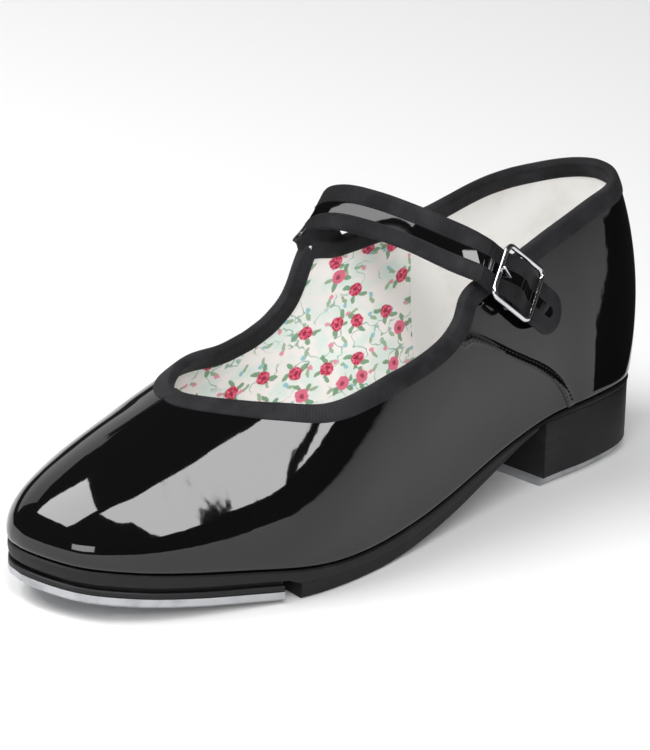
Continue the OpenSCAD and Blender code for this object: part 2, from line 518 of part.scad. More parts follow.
// Edge binding; each edge point is [x, y, outward x, outward y]
module strap_edge(edges) {
    low = -strap_patent_t - strap_lining_t - 6 * gap;
    high = 7 * gap;
    out = [[-flap_w, high + flap_t], [-flap_w / 2, high + flap_t], [0.1, high + flap_t], [wrap_t, -0.1],
        [wrap_t, low + 0.1], [0.1, low - flap_t - gap], [-flap_w / 2, low - flap_t - gap], [-flap_w, low - flap_t - gap]];
    inside = [[-flap_w, high], [-flap_w / 2, high], [0.1, high], [wrap_gap, -0.1], [wrap_gap, low + 0.1], [0.1, low - gap],
        [-flap_w / 2, low - gap], [-flap_w, low - gap]];
    function wrap(profile) = [for (e = edges) [for (p = profile)
        on_strap(e[0] + p[0] * e[2], e[1] + p[0] * e[3], p[1])]];
    shell_between(wrap(out), wrap(inside));
}
module at_buckle() {
    along = place(strap_mid(1)) - place(strap_mid(0));
    x = unit(along);
    y = unit(place([0, 0, 0]) - place(strap_across(0)));
    z = cross(x, y);
    translate(place(strap_mid(0) + frame_lift * strap_up(0)))
        rotate([atan2(y[2], z[2]), -asin(x[2]), atan2(x[1], x[0])])
            children();
}
module prong_slot() {
    at_buckle()
        translate([-slot_rear, -slot_half, -6])
            cube([slot_rear + slot_front, 2 * slot_half, 10]);
}
module strap() color("#151517") difference() {
    strap_layer([for (x = strap_run) [x, strap_half]], 0, -strap_patent_t);
    prong_slot();
}
module strap_lining() color("#1a1a1d") difference() {
    strap_layer([for (x = strap_run) [x, strap_half]], -strap_patent_t - 2 * gap,
        -strap_patent_t - 2 * gap - strap_lining_t);
    prong_slot();
}
module strap_binding() color("#28282c") {
    strap_edge([for (x = strap_run) [x, strap_half, 0, 1]]);
    strap_edge([for (x = backwards(strap_run)) [x, -strap_half, 0, -1]]);
}
module strap_tip() color("#151517") strap_layer(tip_run, 0, -strap_patent_t);
module strap_tip_lining() color("#1a1a1d")
    strap_layer(tip_run, -strap_patent_t - 2 * gap, -strap_patent_t - 2 * gap - strap_lining_t);
module strap_tip_binding() color("#28282c") {
    side = [for (x = [tip_start, 14, 16]) [x, strap_half, 0, 1]];
    arc = [for (a = [0:12:180]) [tip_bend + strap_half * sin(a), strap_half * cos(a), sin(a), cos(a)]];
    strap_edge(concat(side, arc, [for (e = backwards(side)) [e[0], -e[1], 0, -1]]));
}

module rod(length, r) {
    rotate([90, 0, 0])
        cylinder(r = r, h = length, center = true, $fn = 24);
}
module buckle_frame() color("#d3d4d6") at_buckle() {
    straight = pitch_w - corner_r;
    for (side = [-1, 1]) {
        translate([side * pitch_w, 0, 0])
            rod(2 * straight, wire_d / 2);
        translate([0, side * pitch_w, 0])
            rotate([0, 90, 0])
                cylinder(r = wire_d / 2, h = 2 * straight, center = true, $fn = 24);
        translate([0, side * (pitch_w - 0.1), -bar_drop])
            cylinder(r = bar_r, h = bar_drop, $fn = 24);
    }
    for (turn = [0, 90, 180, 270])
        rotate([0, 0, turn])
            translate([straight, straight, 0])
                rotate_extrude(angle = 90, $fn = 48)
                    translate([corner_r, 0, 0])
                        circle(r = wire_d / 2, $fn = 24);
    translate([0, 0, -bar_drop])
        rod(2 * pitch_w, bar_r);
}
module ring(inner, thick, width) {
    rotate([90, 0, 0])
        difference() {
            cylinder(r = inner + thick, h = width, center = true, $fn = 32);
            cylinder(r = inner, h = width + 1, center = true, $fn = 32);
        }
}
module buckle_prong() color("#d3d4d6") at_buckle() {
    rise = atan(bar_drop / pitch_w) + asin((wire_d / 2 + prong_r + 2 * gap) / norm([bar_drop, pitch_w]));
    translate([0, 0, -bar_drop])
        difference() {
            union() {
                rotate([90, 0, 0])
                    cylinder(r = bar_r + gap + ring_t, h = 2.2, center = true, $fn = 32);
                rotate([0, rise - 90, 0])
                    cylinder(r = prong_r, h = prong_l, $fn = 24);
                rotate([0, rise - 90, 0])
                    translate([0, 0, prong_l])
                        sphere(r = prong_r, $fn = 24);
            }
            rotate([90, 0, 0])
                cylinder(r = bar_r + gap, h = 4, center = true, $fn = 32);
        }
}
// Point in the buckle's frame
function on_frame(x, y, z) =
    strap_mid(0) + x * unit(strap_mid(1) - strap_mid(0)) + y * strap_across(0) + (z + frame_lift) * strap_up(0);
// The strip leaves the bar, passes under the strap and lies on the quarter
module chape_elastic() color("#222226") {
    difference() {
        shell_between([for (c = CHAPE) [for (y = CHAPE_Y) on_frame(c[0], y, c[1] - c[3] * y)]],
            [for (c = CHAPE) [for (y = CHAPE_Y) on_frame(c[0], y, c[2] - c[3] * y)]]);
        at_buckle()
            cube([5, 3.2, 12], center = true);
    }
    at_buckle()
        for (y = [-3.1, 3.1])
            translate([0, y, -bar_drop])
                ring(bar_r + gap, chape_t, 2.8);
}

// ---- assembly ----

scale(shoe_length / reference_length) {
    vamp();
    quarter_lateral();
    quarter_medial();
    vamp_lining();
    quarter_lining();
    toe_puff();
    heel_counter();
    throat_binding();
    collar_binding();
    insole_board();
    sock_lining();
    shank();
    bottom_filler();
    outsole();
    sole_pad();
    tap_board();
    tap_riser();
    toe_tap();
    toe_tap_screws();
    heel_block();
    heel_nails();
    heel_tap();
    heel_tap_screws();
    chape_elastic();
    strap();
    strap_lining();
    strap_binding();
    buckle_frame();
    buckle_prong();
    strap_tip();
    strap_tip_lining();
    strap_tip_binding();
}
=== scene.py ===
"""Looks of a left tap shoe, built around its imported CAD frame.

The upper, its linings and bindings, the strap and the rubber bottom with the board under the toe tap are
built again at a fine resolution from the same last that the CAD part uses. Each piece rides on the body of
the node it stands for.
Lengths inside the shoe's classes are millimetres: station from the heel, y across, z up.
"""
import enum
import json
import logging
import math
from dataclasses import dataclass, field
from typing import Callable, Iterable, Optional, Sequence

import bmesh
import bpy
import numpy as np
from mathutils import Matrix, Vector

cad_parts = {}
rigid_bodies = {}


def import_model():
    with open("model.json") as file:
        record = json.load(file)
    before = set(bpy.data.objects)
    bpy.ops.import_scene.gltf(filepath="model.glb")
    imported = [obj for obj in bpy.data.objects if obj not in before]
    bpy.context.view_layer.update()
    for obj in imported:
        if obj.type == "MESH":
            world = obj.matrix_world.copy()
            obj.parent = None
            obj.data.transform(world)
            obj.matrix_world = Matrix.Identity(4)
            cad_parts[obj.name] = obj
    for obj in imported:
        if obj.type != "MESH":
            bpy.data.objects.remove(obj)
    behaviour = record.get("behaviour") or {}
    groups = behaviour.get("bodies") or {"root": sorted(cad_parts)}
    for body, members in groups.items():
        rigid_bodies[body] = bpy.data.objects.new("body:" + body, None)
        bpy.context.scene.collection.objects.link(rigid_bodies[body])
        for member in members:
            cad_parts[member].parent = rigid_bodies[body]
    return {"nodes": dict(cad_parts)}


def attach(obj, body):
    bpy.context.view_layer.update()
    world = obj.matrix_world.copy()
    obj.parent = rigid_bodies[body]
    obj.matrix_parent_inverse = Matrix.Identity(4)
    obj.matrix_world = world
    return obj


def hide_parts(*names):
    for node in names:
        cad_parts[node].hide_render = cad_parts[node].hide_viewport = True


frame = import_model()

LOG = logging.getLogger("tap_shoe")
MM = 0.001
Rows = Sequence[tuple[float, ...]]


class Side(enum.IntEnum):
    """The two sides of a left shoe, in the order that paired sizes are kept."""

    LATERAL = 0
    MEDIAL = 1


# ---------------------------------------------------------------------------------------------- curves


@dataclass(frozen=True)
class Table:
    """A smooth curve through rows of (position, value)."""

    rows: Rows

    def __call__(self, x: np.ndarray) -> np.ndarray:
        """Returns the values at x, held at the ends.

        Args:
            x: Positions along the table.

        Returns:
            One value per position.
        """
        xs, ys = np.array(self.rows, float).T
        slope = np.empty_like(ys)
        slope[1:-1] = (ys[2:] - ys[:-2]) / (xs[2:] - xs[:-2])
        slope[0] = (ys[1] - ys[0]) / (xs[1] - xs[0])
        slope[-1] = (ys[-1] - ys[-2]) / (xs[-1] - xs[-2])
        x = np.clip(np.asarray(x, float), xs[0], xs[-1])
        i = np.clip(np.searchsorted(xs, x, side="right") - 1, 0, len(xs) - 2)
        h = xs[i + 1] - xs[i]
        f = (x - xs[i]) / h
        return (
            (2 * f**3 - 3 * f**2 + 1) * ys[i]
            + (f**3 - 2 * f**2 + f) * h * slope[i]
            + (3 * f**2 - 2 * f**3) * ys[i + 1]
            + (f**3 - f**2) * h * slope[i + 1]
        )


def unit(v: np.ndarray) -> np.ndarray:
    """Vectors of length one."""
    return v / np.maximum(np.linalg.norm(v, axis=-1, keepdims=True), 1e-12)


@dataclass(frozen=True)
class Last:
    """The shoemaker's last: ribs that rise from the feather edge to the ridge."""

    feather: Rows = (
        (0, 5), (2.5, -9), (12, -19.5), (30, -24.5), (52, -26.5), (85, -32), (118, -38.5), (146, -43),
        (166, -42.5), (184, -37), (202, -31), (218, -23.5), (232, -11.5), (239, 8), (235, 21), (222, 31),
        (204, 37.5), (182, 41), (160, 38.5), (135, 29), (105, 20), (78, 20.5), (52, 25), (28, 28), (9, 21.5),
    )
    toe_share: float = 13 / 25
    tip: float = 239
    centre: tuple[float, float] = (118.38, -1.26)
    throat: float = 190
    throat_turn: float = 0.045
    feather_z: Table = Table(
        ((0, 26), (45, 25.5), (70, 21.5), (100, 13.5), (125, 9.5), (150, 9), (175, 11.6), (190, 13.3),
         (210, 15.8), (225, 17.8), (243, 20.3))
    )
    ridge_z: Table = Table(
        ((0, 132), (60, 128), (95, 118), (120, 104), (145, 81), (165, 66.5), (184, 57.5), (196, 52.5),
         (209, 47), (221, 42))
    )
    ridge_y: Table = Table(((0, 3), (60, -1), (110, 0), (150, 3), (190, 7), (225, 11)))
    spine: Table = Table(((0, 44), (60, 72), (120, 120), (170, 165), (200, 186), (225, 199), (243, 206)))
    rise: Table = Table(
        ((0, 0.56), (30, 0.56), (60, 0.56), (110, 0.62), (150, 0.68), (190, 0.56), (215, 0.5), (243, 0.46))
    )
    lean: tuple[Table, Table] = (
        Table(((0, 0.67), (30, 0.45), (60, 0.45), (110, 0.56), (150, 0.55), (190, 0.46), (225, 0.46),
               (243, 0.54))),
        Table(((0, 0.67), (30, 0.5), (60, 0.6), (85, 0.95), (115, 1.1), (135, 0.75), (150, 0.55), (190, 0.46),
               (225, 0.46), (243, 0.54))),
    )
    bulge: tuple[Table, Table] = (
        Table(((0, 9.5), (30, 6), (60, 6), (110, 6), (150, 5), (190, 3.5), (243, 2.5))),
        Table(((0, 9.5), (30, 6), (60, 8), (85, 12), (115, 14), (135, 9), (150, 5), (190, 3.5), (243, 2.5))),
    )
    top: tuple[Table, Table] = (
        Table(((0, 0.465), (15, 0.462), (31, 0.44), (42, 0.425), (55, 0.412), (70, 0.408), (84, 0.412),
               (89, 0.4), (93, 0.365), (99, 0.346), (106, 0.343), (114, 0.35), (122, 0.362),
               (136, 0.401), (151, 0.477), (165, 0.625), (176, 0.757))),
        Table(((0, 0.465), (10, 0.443), (23, 0.441), (42, 0.439), (61, 0.433), (75, 0.44), (86, 0.465),
               (96, 0.483), (104, 0.503), (111, 0.543), (115, 0.564), (117, 0.555), (118.3, 0.51),
               (120, 0.445), (122.5, 0.405), (127, 0.382), (131, 0.376), (138, 0.385), (150, 0.44),
               (165, 0.59), (176, 0.74))),
    )

    def outline(self, t: np.ndarray) -> np.ndarray:
        """Feather edge points (station, y) at outline shares t."""
        pts = np.array(self.feather, float)
        n = len(pts)
        x = (np.asarray(t, float) % 1.0) * n
        i = np.floor(x).astype(int)
        f = (x - i)[..., None]
        a, b, c, d = (pts[(i + k) % n] for k in (-1, 0, 1, 2))
        return 0.5 * (2 * b + (c - a) * f + (2 * a - 5 * b + 4 * c - d) * f**2
                      + (3 * b - a - 3 * c + d) * f**3)

    def share(self, s: np.ndarray, side: Side) -> np.ndarray:
        """Outline share of a station on a side."""
        u = np.linspace(0, 1, 6001)
        t = u * self.toe_share if side == Side.LATERAL else 1 - u * (1 - self.toe_share)
        stations = np.maximum.accumulate(self.outline(t)[:, 0])
        keep = np.concatenate([[True], np.diff(stations) > 1e-9])
        return np.interp(s, stations[keep], t[keep])

    def side_of(self, t: np.ndarray) -> np.ndarray:
        """True on the medial side."""
        return (np.asarray(t) % 1.0) > self.toe_share

    def outwards(self, t: np.ndarray) -> np.ndarray:
        """Unit vectors square to the outline."""
        d = unit(self.outline(t + 0.0025) - self.outline(t - 0.0025))
        return np.stack([d[..., 1], -d[..., 0]], -1)

    def height_share(self, s: np.ndarray, side: Side) -> np.ndarray:
        """Share of the rib where the topline cuts it."""
        table = self.top[side]
        (s1, v1), (s0, v0) = table.rows[-1], table.rows[-2]
        h = math.sqrt(self.throat - s1)
        slope = (v1 - v0) / (s1 - s0)
        f = np.sqrt(np.clip(self.throat - s, 0, None)) / h
        front = (f**3 - 2 * f**2 + f) * h * self.throat_turn + (3 * f**2 - 2 * f**3) * (1 - v1)
        front = front + (f**3 - f**2) * h * 2 * h * slope
        return np.where(s >= self.throat, 1.0, np.where(s <= s1, table(s), 1 - front))

    def surface(self, t: np.ndarray, w: np.ndarray) -> np.ndarray:
        """Points (station, y, z) at outline share t and rib share w."""
        f = self.outline(t)
        out = self.outwards(t)
        s = f[..., 0]
        medial = self.side_of(t)
        fz = self.feather_z(s)
        rs = self.spine(s)
        rz = self.ridge_z(rs)
        ry = self.ridge_y(rs)
        pitch = (self.ridge_z(rs + 1) - self.ridge_z(rs - 1)) / 2
        bulge = np.where(medial, self.bulge[1](s), self.bulge[0](s))
        lean = np.where(medial, self.lean[1](s), self.lean[0](s))
        c0 = np.stack([s, f[..., 1], fz], -1)
        c1 = np.stack([s + out[..., 0] * bulge, f[..., 1] + out[..., 1] * bulge,
                       fz + self.rise(s) * (rz - fz)], -1)
        c2 = np.stack([rs + lean * (s - rs), ry + lean * (f[..., 1] - ry), rz + pitch * lean * (s - rs)], -1)
        c3 = np.stack([rs, ry, rz], -1)
        w = np.asarray(w, float)[..., None]
        v = 1 - w
        return v**3 * c0 + 3 * w * v**2 * c1 + 3 * w**2 * v * c2 + w**3 * c3

    def ridge(self, s: np.ndarray) -> np.ndarray:
        """Ridge points of the ribs at feather stations s."""
        rs = self.spine(s)
        return np.stack([rs, self.ridge_y(rs), self.ridge_z(rs)], -1)

    def normal(self, t: np.ndarray, w: np.ndarray) -> np.ndarray:
        """Outward unit normals; both halves agree on the ridge."""
        along = self.surface(t + 0.0025, w) - self.surface(t - 0.0025, w)
        up = self.surface(t, w + 0.004) - self.surface(t, w - 0.004)
        n = unit(np.cross(along, up))
        rs = self.spine(self.outline(t)[..., 0])
        rise = (self.ridge_z(rs + 1) - self.ridge_z(rs - 1)) / 2
        top = unit(np.stack([-rise, np.zeros_like(rise), np.ones_like(rise)], -1))
        k = np.clip((np.asarray(w, float) - 0.97) / 0.03, 0, 1)[..., None]
        return unit(n * (1 - k) + top * k)

    def place(self, p: np.ndarray) -> np.ndarray:
        """Station coordinates in millimetres to the part's frame in metres."""
        q = np.empty_like(p)
        q[..., 0] = self.centre[0] - p[..., 0]
        q[..., 1] = p[..., 1] - self.centre[1]
        q[..., 2] = p[..., 2]
        return q * MM


LAST = Last()


# ---------------------------------------------------------------------------------------------- meshes


@dataclass
class MeshBuilder:
    """Collects vertices, faces and a two-value coordinate, and makes them one object."""

    name: str
    points: list[np.ndarray] = field(default_factory=list)
    coords: list[np.ndarray] = field(default_factory=list)
    faces: list[np.ndarray] = field(default_factory=list)
    count: int = 0

    def add(self, grid: np.ndarray, coord: Optional[np.ndarray] = None) -> np.ndarray:
        """Adds a grid of points in the part's frame and returns their indices."""
        flat = grid.reshape(-1, 3)
        index = np.arange(self.count, self.count + len(flat)).reshape(grid.shape[:-1])
        self.points.append(flat)
        self.coords.append(np.zeros((len(flat), 2)) if coord is None else coord.reshape(-1, 2))
        self.count += len(flat)
        return index

    def quads(self, index: np.ndarray) -> None:
        """Faces over a grid of indices."""
        a, b, c, d = index[:-1, :-1], index[1:, :-1], index[1:, 1:], index[:-1, 1:]
        self.faces.append(np.stack([a, b, c, d], -1).reshape(-1, 4))

    def bridge(self, first: np.ndarray, second: np.ndarray) -> None:
        """A strip of faces between two rows of indices."""
        self.quads(np.stack([first, second]))

    def shell(self, outer: np.ndarray, inner: np.ndarray, coord: Optional[np.ndarray] = None,
              sewn: Optional[np.ndarray] = None) -> None:
        """A closed sheet between two grids.

        Args:
            outer: Points of the outer face.
            inner: Points of the inner face.
            coord: The two-value coordinate of each grid point.
            sewn: True for the columns whose last row has no rim, because both halves meet there.
        """
        a, b = self.add(outer, coord), self.add(inner, coord)
        self.quads(a)
        self.quads(b[:, ::-1])
        self.bridge(a[0], b[0])
        self.bridge(b[-1], a[-1])
        self.bridge(b[:, 0], a[:, 0])
        if sewn is None:
            self.bridge(a[:, -1], b[:, -1])
            return
        for i in range(len(a) - 1):
            if not (sewn[i] and sewn[i + 1]):
                self.faces.append(np.array([[a[i, -1], a[i + 1, -1], b[i + 1, -1], b[i, -1]]]))

    def tube(self, sections: np.ndarray, coord: Optional[np.ndarray] = None) -> None:
        """A closed section swept along a run, with capped ends."""
        ring = self.add(sections, coord)
        self.quads(np.concatenate([ring, ring[:, :1]], 1))
        for end, order in ((0, 1), (-1, -1)):
            row = ring[end][::order]
            half = len(row) // 2
            rest = row[half:][::-1]
            size = min(half, len(rest))
            self.bridge(row[:size], rest[:size])

    def make(self, weld: float = 4e-6, crease: float = 38.0) -> bpy.types.Object:
        """Returns the object, welded, with outward normals and smooth shading."""
        mesh = bpy.data.meshes.new(self.name)
        verts = np.concatenate(self.points)
        faces = np.concatenate(self.faces)
        mesh.from_pydata(verts.tolist(), [], faces.tolist())
        attribute = mesh.attributes.new("cloth", "FLOAT_VECTOR", "POINT")
        coord = np.concatenate(self.coords)
        attribute.data.foreach_set("vector", np.concatenate([coord, np.zeros((len(coord), 1))], 1).ravel())
        bm = bmesh.new()
        bm.from_mesh(mesh)
        bmesh.ops.remove_doubles(bm, verts=bm.verts, dist=weld)
        bmesh.ops.dissolve_degenerate(bm, edges=bm.edges, dist=1e-7)
        bmesh.ops.recalc_face_normals(bm, faces=bm.faces)
        limit = math.radians(crease)
        for edge in bm.edges:
            edge.smooth = len(edge.link_faces) != 2 or edge.calc_face_angle(0.0) < limit
        for face in bm.faces:
            face.smooth = True
        bm.to_mesh(mesh)
        bm.free()
        obj = bpy.data.objects.new(self.name, mesh)
        bpy.context.scene.collection.objects.link(obj)
        return obj


def dress(obj: bpy.types.Object, finish: bpy.types.Material, body: str,
          nodes: Sequence[str] = ()) -> bpy.types.Object:
    """Gives a piece its finish and its body, and hides the nodes it stands for."""
    obj.data.materials.clear()
    obj.data.materials.append(finish)
    if nodes:
        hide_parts(*nodes)
    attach(obj, body)
    LOG.info("%s: %d faces on %s", obj.name, len(obj.data.polygons), body)
    return obj


# ------------------------------------------------------------------------------------------ materials


def linear(hex_colour: str) -> tuple[float, float, float, float]:
    """An sRGB hex colour as linear RGBA."""
    values = [int(hex_colour[i:i + 2], 16) / 255 for i in (1, 3, 5)]
    return (*[v / 12.92 if v <= 0.04045 else ((v + 0.055) / 1.055) ** 2.4 for v in values], 1.0)


def add_node(tree: bpy.types.NodeTree, kind: str, inputs: Optional[dict] = None,
             **settings: object) -> bpy.types.Node:
    """Adds a node to a tree.

    Args:
        tree: The tree that gets the node.
        kind: The node's type.
        inputs: A value, or the socket that feeds it, for each input.
        **settings: Properties of the node.

    Returns:
        The new node.
    """
    node = tree.nodes.new(kind)
    for key, value in settings.items():
        setattr(node, key, value)
    for key, value in (inputs or {}).items():
        if isinstance(value, bpy.types.NodeSocket):
            tree.links.new(value, node.inputs[key])
        else:
            node.inputs[key].default_value = value
    return node


class Shader:
    """A node tree under construction."""

    def __init__(self, name: str) -> None:
        """Makes an empty material of that name."""
        self.material = bpy.data.materials.new(name)
        self.material.use_nodes = True
        self.tree = self.material.node_tree
        self.tree.nodes.clear()

    def add(self, kind: str, inputs: Optional[dict] = None, **settings: object) -> bpy.types.Node:
        """Adds a node to the material's tree."""
        return add_node(self.tree, kind, inputs, **settings)

    def math(self, operation: str, a: object, b: object = 0.0, clamp: bool = False) -> bpy.types.NodeSocket:
        """One arithmetic step."""
        return self.add("ShaderNodeMath", {0: a, 1: b}, operation=operation, use_clamp=clamp).outputs[0]

    def mix(self, share: object, a: object, b: object) -> bpy.types.NodeSocket:
        """A colour between a and b."""
        node = self.add("ShaderNodeMix", {0: share, 6: a, 7: b}, data_type="RGBA")
        return node.outputs[2]

    def ramp(self, value: object, low: float, high: float, a: float = 0.0,
             b: float = 1.0) -> bpy.types.NodeSocket:
        """A smooth step from a to b between low and high."""
        node = self.add("ShaderNodeMapRange", {0: value, 1: low, 2: high, 3: a, 4: b},
                        interpolation_type="SMOOTHSTEP")
        return node.outputs[0]

    def noise(self, vector: object, scale: float, detail: float = 3.0,
              rough: float = 0.5) -> bpy.types.NodeSocket:
        """Cloudy values round a half."""
        node = self.add("ShaderNodeTexNoise", {"Vector": vector, "Scale": scale, "Detail": detail,
                                               "Roughness": rough})
        return node.outputs["Fac"]

    def objects(self) -> bpy.types.NodeSocket:
        """Object coordinates in metres."""
        return self.add("ShaderNodeTexCoord").outputs["Object"]

    def cloth(self) -> bpy.types.NodeSocket:
        """Coordinates along and up the cloth in millimetres."""
        return self.add("ShaderNodeAttribute", attribute_name="cloth").outputs["Vector"]

    def bump(self, height: object, distance: float, strength: float = 1.0) -> bpy.types.NodeSocket:
        """A bumped normal."""
        inputs = {"Height": height, "Distance": distance, "Strength": strength}
        return self.add("ShaderNodeBump", inputs).outputs[0]

    def finish(self, **inputs: object) -> bpy.types.Material:
        """Ends the tree in one principled surface."""
        names = {key.replace("_", " ").title().replace("Ior", "IOR"): value for key, value in inputs.items()}
        surface = self.add("ShaderNodeBsdfPrincipled", names)
        self.add("ShaderNodeOutputMaterial", {"Surface": surface.outputs[0]})
        return self.material


@dataclass(frozen=True)
class PatentLeather:
    """Black patent leather: a deep glassy coat whose reflections waver a little."""

    colour: str = "#070708"

    def build(self) -> bpy.types.Material:
        """Returns the material."""
        s = Shader("patent leather")
        at = s.objects()
        ripple = s.noise(at, 28, 1.5, 0.4)
        orange_peel = s.noise(at, 240, 1.0, 0.4)
        stretched = s.add("ShaderNodeMapping", {"Vector": at, "Scale": (1.0, 0.25, 1.0)}).outputs[0]
        creases = s.noise(stretched, 70, 2)
        height = s.math("ADD", s.math("MULTIPLY", ripple, 1.0), s.math("MULTIPLY", orange_peel, 0.05))
        height = s.math("ADD", height, s.math("MULTIPLY", creases, 0.22))
        normal = s.bump(height, 0.0011, 0.5)
        dust = s.ramp(s.noise(at, 900, 4, 0.65), 0.6, 0.78, 0.0, 1.0)
        rough = s.math("ADD", s.math("MULTIPLY", dust, 0.05), 0.045)
        colour = s.mix(s.math("MULTIPLY", dust, 0.1), linear(self.colour), linear("#2b2d33"))
        return s.finish(base_color=colour, roughness=rough, ior=1.5, normal=normal, coat_weight=0.12,
                        coat_roughness=0.03)


@dataclass(frozen=True)
class RibbedTape:
    """Charcoal grosgrain: matte, a little lighter on each rib."""

    colour: str = "#121214"

    def build(self) -> bpy.types.Material:
        """Returns the material."""
        s = Shader("grosgrain tape")
        at = s.objects()
        threads = s.noise(at, 2600, 2, 0.6)
        fade = s.noise(at, 60, 3, 0.6)
        colour = s.mix(s.ramp(fade, 0.35, 0.7), linear(self.colour), linear("#29292d"))
        colour = s.mix(s.math("MULTIPLY", threads, 0.5), colour, linear("#101012"))
        return s.finish(base_color=colour, roughness=0.72, normal=s.bump(threads, 0.0002, 0.5),
                        sheen_weight=0.04, sheen_roughness=0.5, specular_ior_level=0.2)


@dataclass(frozen=True)
class FloralCotton:
    """Printed cotton: roses, leaves and small sprigs on a pale ground.

    Attributes:
        spacing: Distance between roses in millimetres.
    """

    spacing: float = 12.5

    def flowers(self, s: Shader, at: object, spacing: float, shift: float) -> tuple:
        """Returns the offset from the nearest flower's middle, in millimetres, and its random values."""
        moved = s.add("ShaderNodeVectorMath", {0: at, 1: (shift, shift * 0.7, 0.0)},
                      operation="ADD").outputs[0]
        cell = s.add("ShaderNodeTexVoronoi", {"Vector": moved, "Scale": 1.0 / spacing, "Randomness": 0.62},
                     voronoi_dimensions="2D")
        offset = s.add("ShaderNodeVectorMath", {0: moved, 1: cell.outputs["Position"]},
                       operation="SUBTRACT").outputs[0]
        parts = s.add("ShaderNodeSeparateColor", {0: cell.outputs["Color"]})
        turn = s.math("MULTIPLY", parts.outputs[0], 6.283)
        turned = s.add("ShaderNodeVectorRotate", {"Vector": offset, "Angle": turn},
                       rotation_type="Z_AXIS").outputs[0]
        return turned, parts.outputs[1]

    def spot(self, s: Shader, at: object, centre: tuple, size: tuple, edge: float = 0.25) -> object:
        """A soft-edged oval."""
        moved = s.add("ShaderNodeVectorMath", {0: at, 1: (-centre[0], -centre[1], 0.0)},
                      operation="ADD").outputs[0]
        scaled = s.add("ShaderNodeVectorMath", {0: moved, 1: (1 / size[0], 1 / size[1], 0.0)},
                       operation="MULTIPLY")
        length = s.add("ShaderNodeVectorMath", {0: scaled.outputs[0]}, operation="LENGTH").outputs["Value"]
        return s.ramp(length, 1.0 - edge, 1.0, 1.0, 0.0)

    def build(self) -> bpy.types.Material:
        """Returns the material."""
        s = Shader("printed cotton")
        flat = s.cloth()
        wobble = s.add("ShaderNodeTexNoise", {"Vector": flat, "Scale": 0.55, "Detail": 2.0}).outputs["Color"]
        at = s.add("ShaderNodeVectorMath", {0: wobble, 1: (1.5, 1.5, 0.0), 2: flat},
                   operation="MULTIPLY_ADD").outputs[0]
        ground = s.mix(s.ramp(s.noise(flat, 0.11, 2), 0.4, 0.62), linear("#f6f1ee"), linear("#e3efe8"))
        stems = s.math("ABSOLUTE", s.math("SUBTRACT", s.noise(flat, 0.13, 2, 0.4), 0.5))
        patches = s.ramp(s.noise(flat, 0.08, 1), 0.45, 0.55)
        stems = s.math("MULTIPLY", s.ramp(stems, 0.006, 0.016, 1.0, 0.0), patches)
        colour = s.mix(s.math("MULTIPLY", stems, 0.8), ground, linear("#7fae9a"))
        small, pick = self.flowers(s, at, self.spacing * 0.62, 31.0)
        leaf = self.spot(s, small, (2.0, 0.6), (1.9, 0.75))
        colour = s.mix(s.math("MULTIPLY", leaf, 0.85), colour, linear("#8fae86"))
        bud = self.spot(s, small, (0.0, 0.0), (1.15, 1.0), 0.4)
        bud_colour = s.mix(s.ramp(pick, 0.45, 0.55), linear("#8cc4cf"), linear("#e98aa0"))
        colour = s.mix(s.math("MULTIPLY", bud, 0.9), colour, bud_colour)
        rose, pick = self.flowers(s, at, self.spacing, 0.0)
        leaves = (((3.4, 0.9), (2.2, 0.95)), ((-3.0, -1.9), (2.0, 0.9)), ((0.6, -3.4), (0.9, 1.7)))
        for centre, size in leaves:
            mask = self.spot(s, rose, centre, size)
            colour = s.mix(s.math("MULTIPLY", mask, 0.9), colour, linear("#6d9a73"))
        petals = s.noise(rose, 0.95, 3, 0.6)
        disc = self.spot(s, rose, (0.0, 0.0), (2.75, 2.6), 0.2)
        red = s.mix(s.ramp(petals, 0.42, 0.58), linear("#b81f3e"), linear("#ea6f8d"))
        red = s.mix(s.ramp(pick, 0.5, 0.6), red, linear("#e2718c"))
        colour = s.mix(disc, colour, red)
        heart = self.spot(s, rose, (0.3, 0.2), (1.15, 1.05), 0.5)
        colour = s.mix(s.math("MULTIPLY", heart, 0.75), colour, linear("#8e1630"))
        weave = s.add("ShaderNodeTexWave", {"Vector": flat, "Scale": 1.1, "Distortion": 0.4}).outputs["Fac"]
        weft = s.add("ShaderNodeTexWave", {"Vector": flat, "Scale": 1.1}, bands_direction="Y").outputs["Fac"]
        height = s.math("ADD", weave, weft)
        return s.finish(base_color=colour, roughness=0.85, normal=s.bump(height, 0.00006, 0.6))


@dataclass(frozen=True)
class PlainLining:
    """Off-white cloth with a fine weave and a little soiling."""

    def build(self) -> bpy.types.Material:
        """Returns the material."""
        s = Shader("plain lining")
        flat = s.cloth()
        soil = s.ramp(s.noise(flat, 0.05, 4, 0.6), 0.5, 0.8)
        weave = s.add("ShaderNodeTexWave", {"Vector": flat, "Scale": 1.2}).outputs["Fac"]
        weft = s.add("ShaderNodeTexWave", {"Vector": flat, "Scale": 1.2}, bands_direction="Y").outputs["Fac"]
        return s.finish(base_color=s.mix(s.math("MULTIPLY", soil, 0.5), linear("#f1f0ee"), linear("#dcd8d0")),
                        roughness=0.85, normal=s.bump(s.math("ADD", weave, weft), 0.00005, 0.5))


@dataclass(frozen=True)
class Matte:
    """Rubber, board or thread: matte, with a fine grain and scuffs."""

    name: str
    colour: str
    scuff: str
    roughness: float = 0.6
    grain: float = 1200.0
    depth: float = 0.0001

    def build(self) -> bpy.types.Material:
        """Returns the material."""
        s = Shader(self.name)
        at = s.objects()
        grain = s.noise(at, self.grain, 3, 0.6)
        wear = s.ramp(s.noise(at, 90, 5, 0.7), 0.52, 0.72)
        rough = s.math("ADD", s.math("MULTIPLY", wear, 0.12), self.roughness)
        colour = s.mix(s.math("MULTIPLY", wear, 0.6), linear(self.colour), linear(self.scuff))
        return s.finish(base_color=colour, roughness=rough, normal=s.bump(grain, self.depth, 0.7),
                        specular_ior_level=0.3)


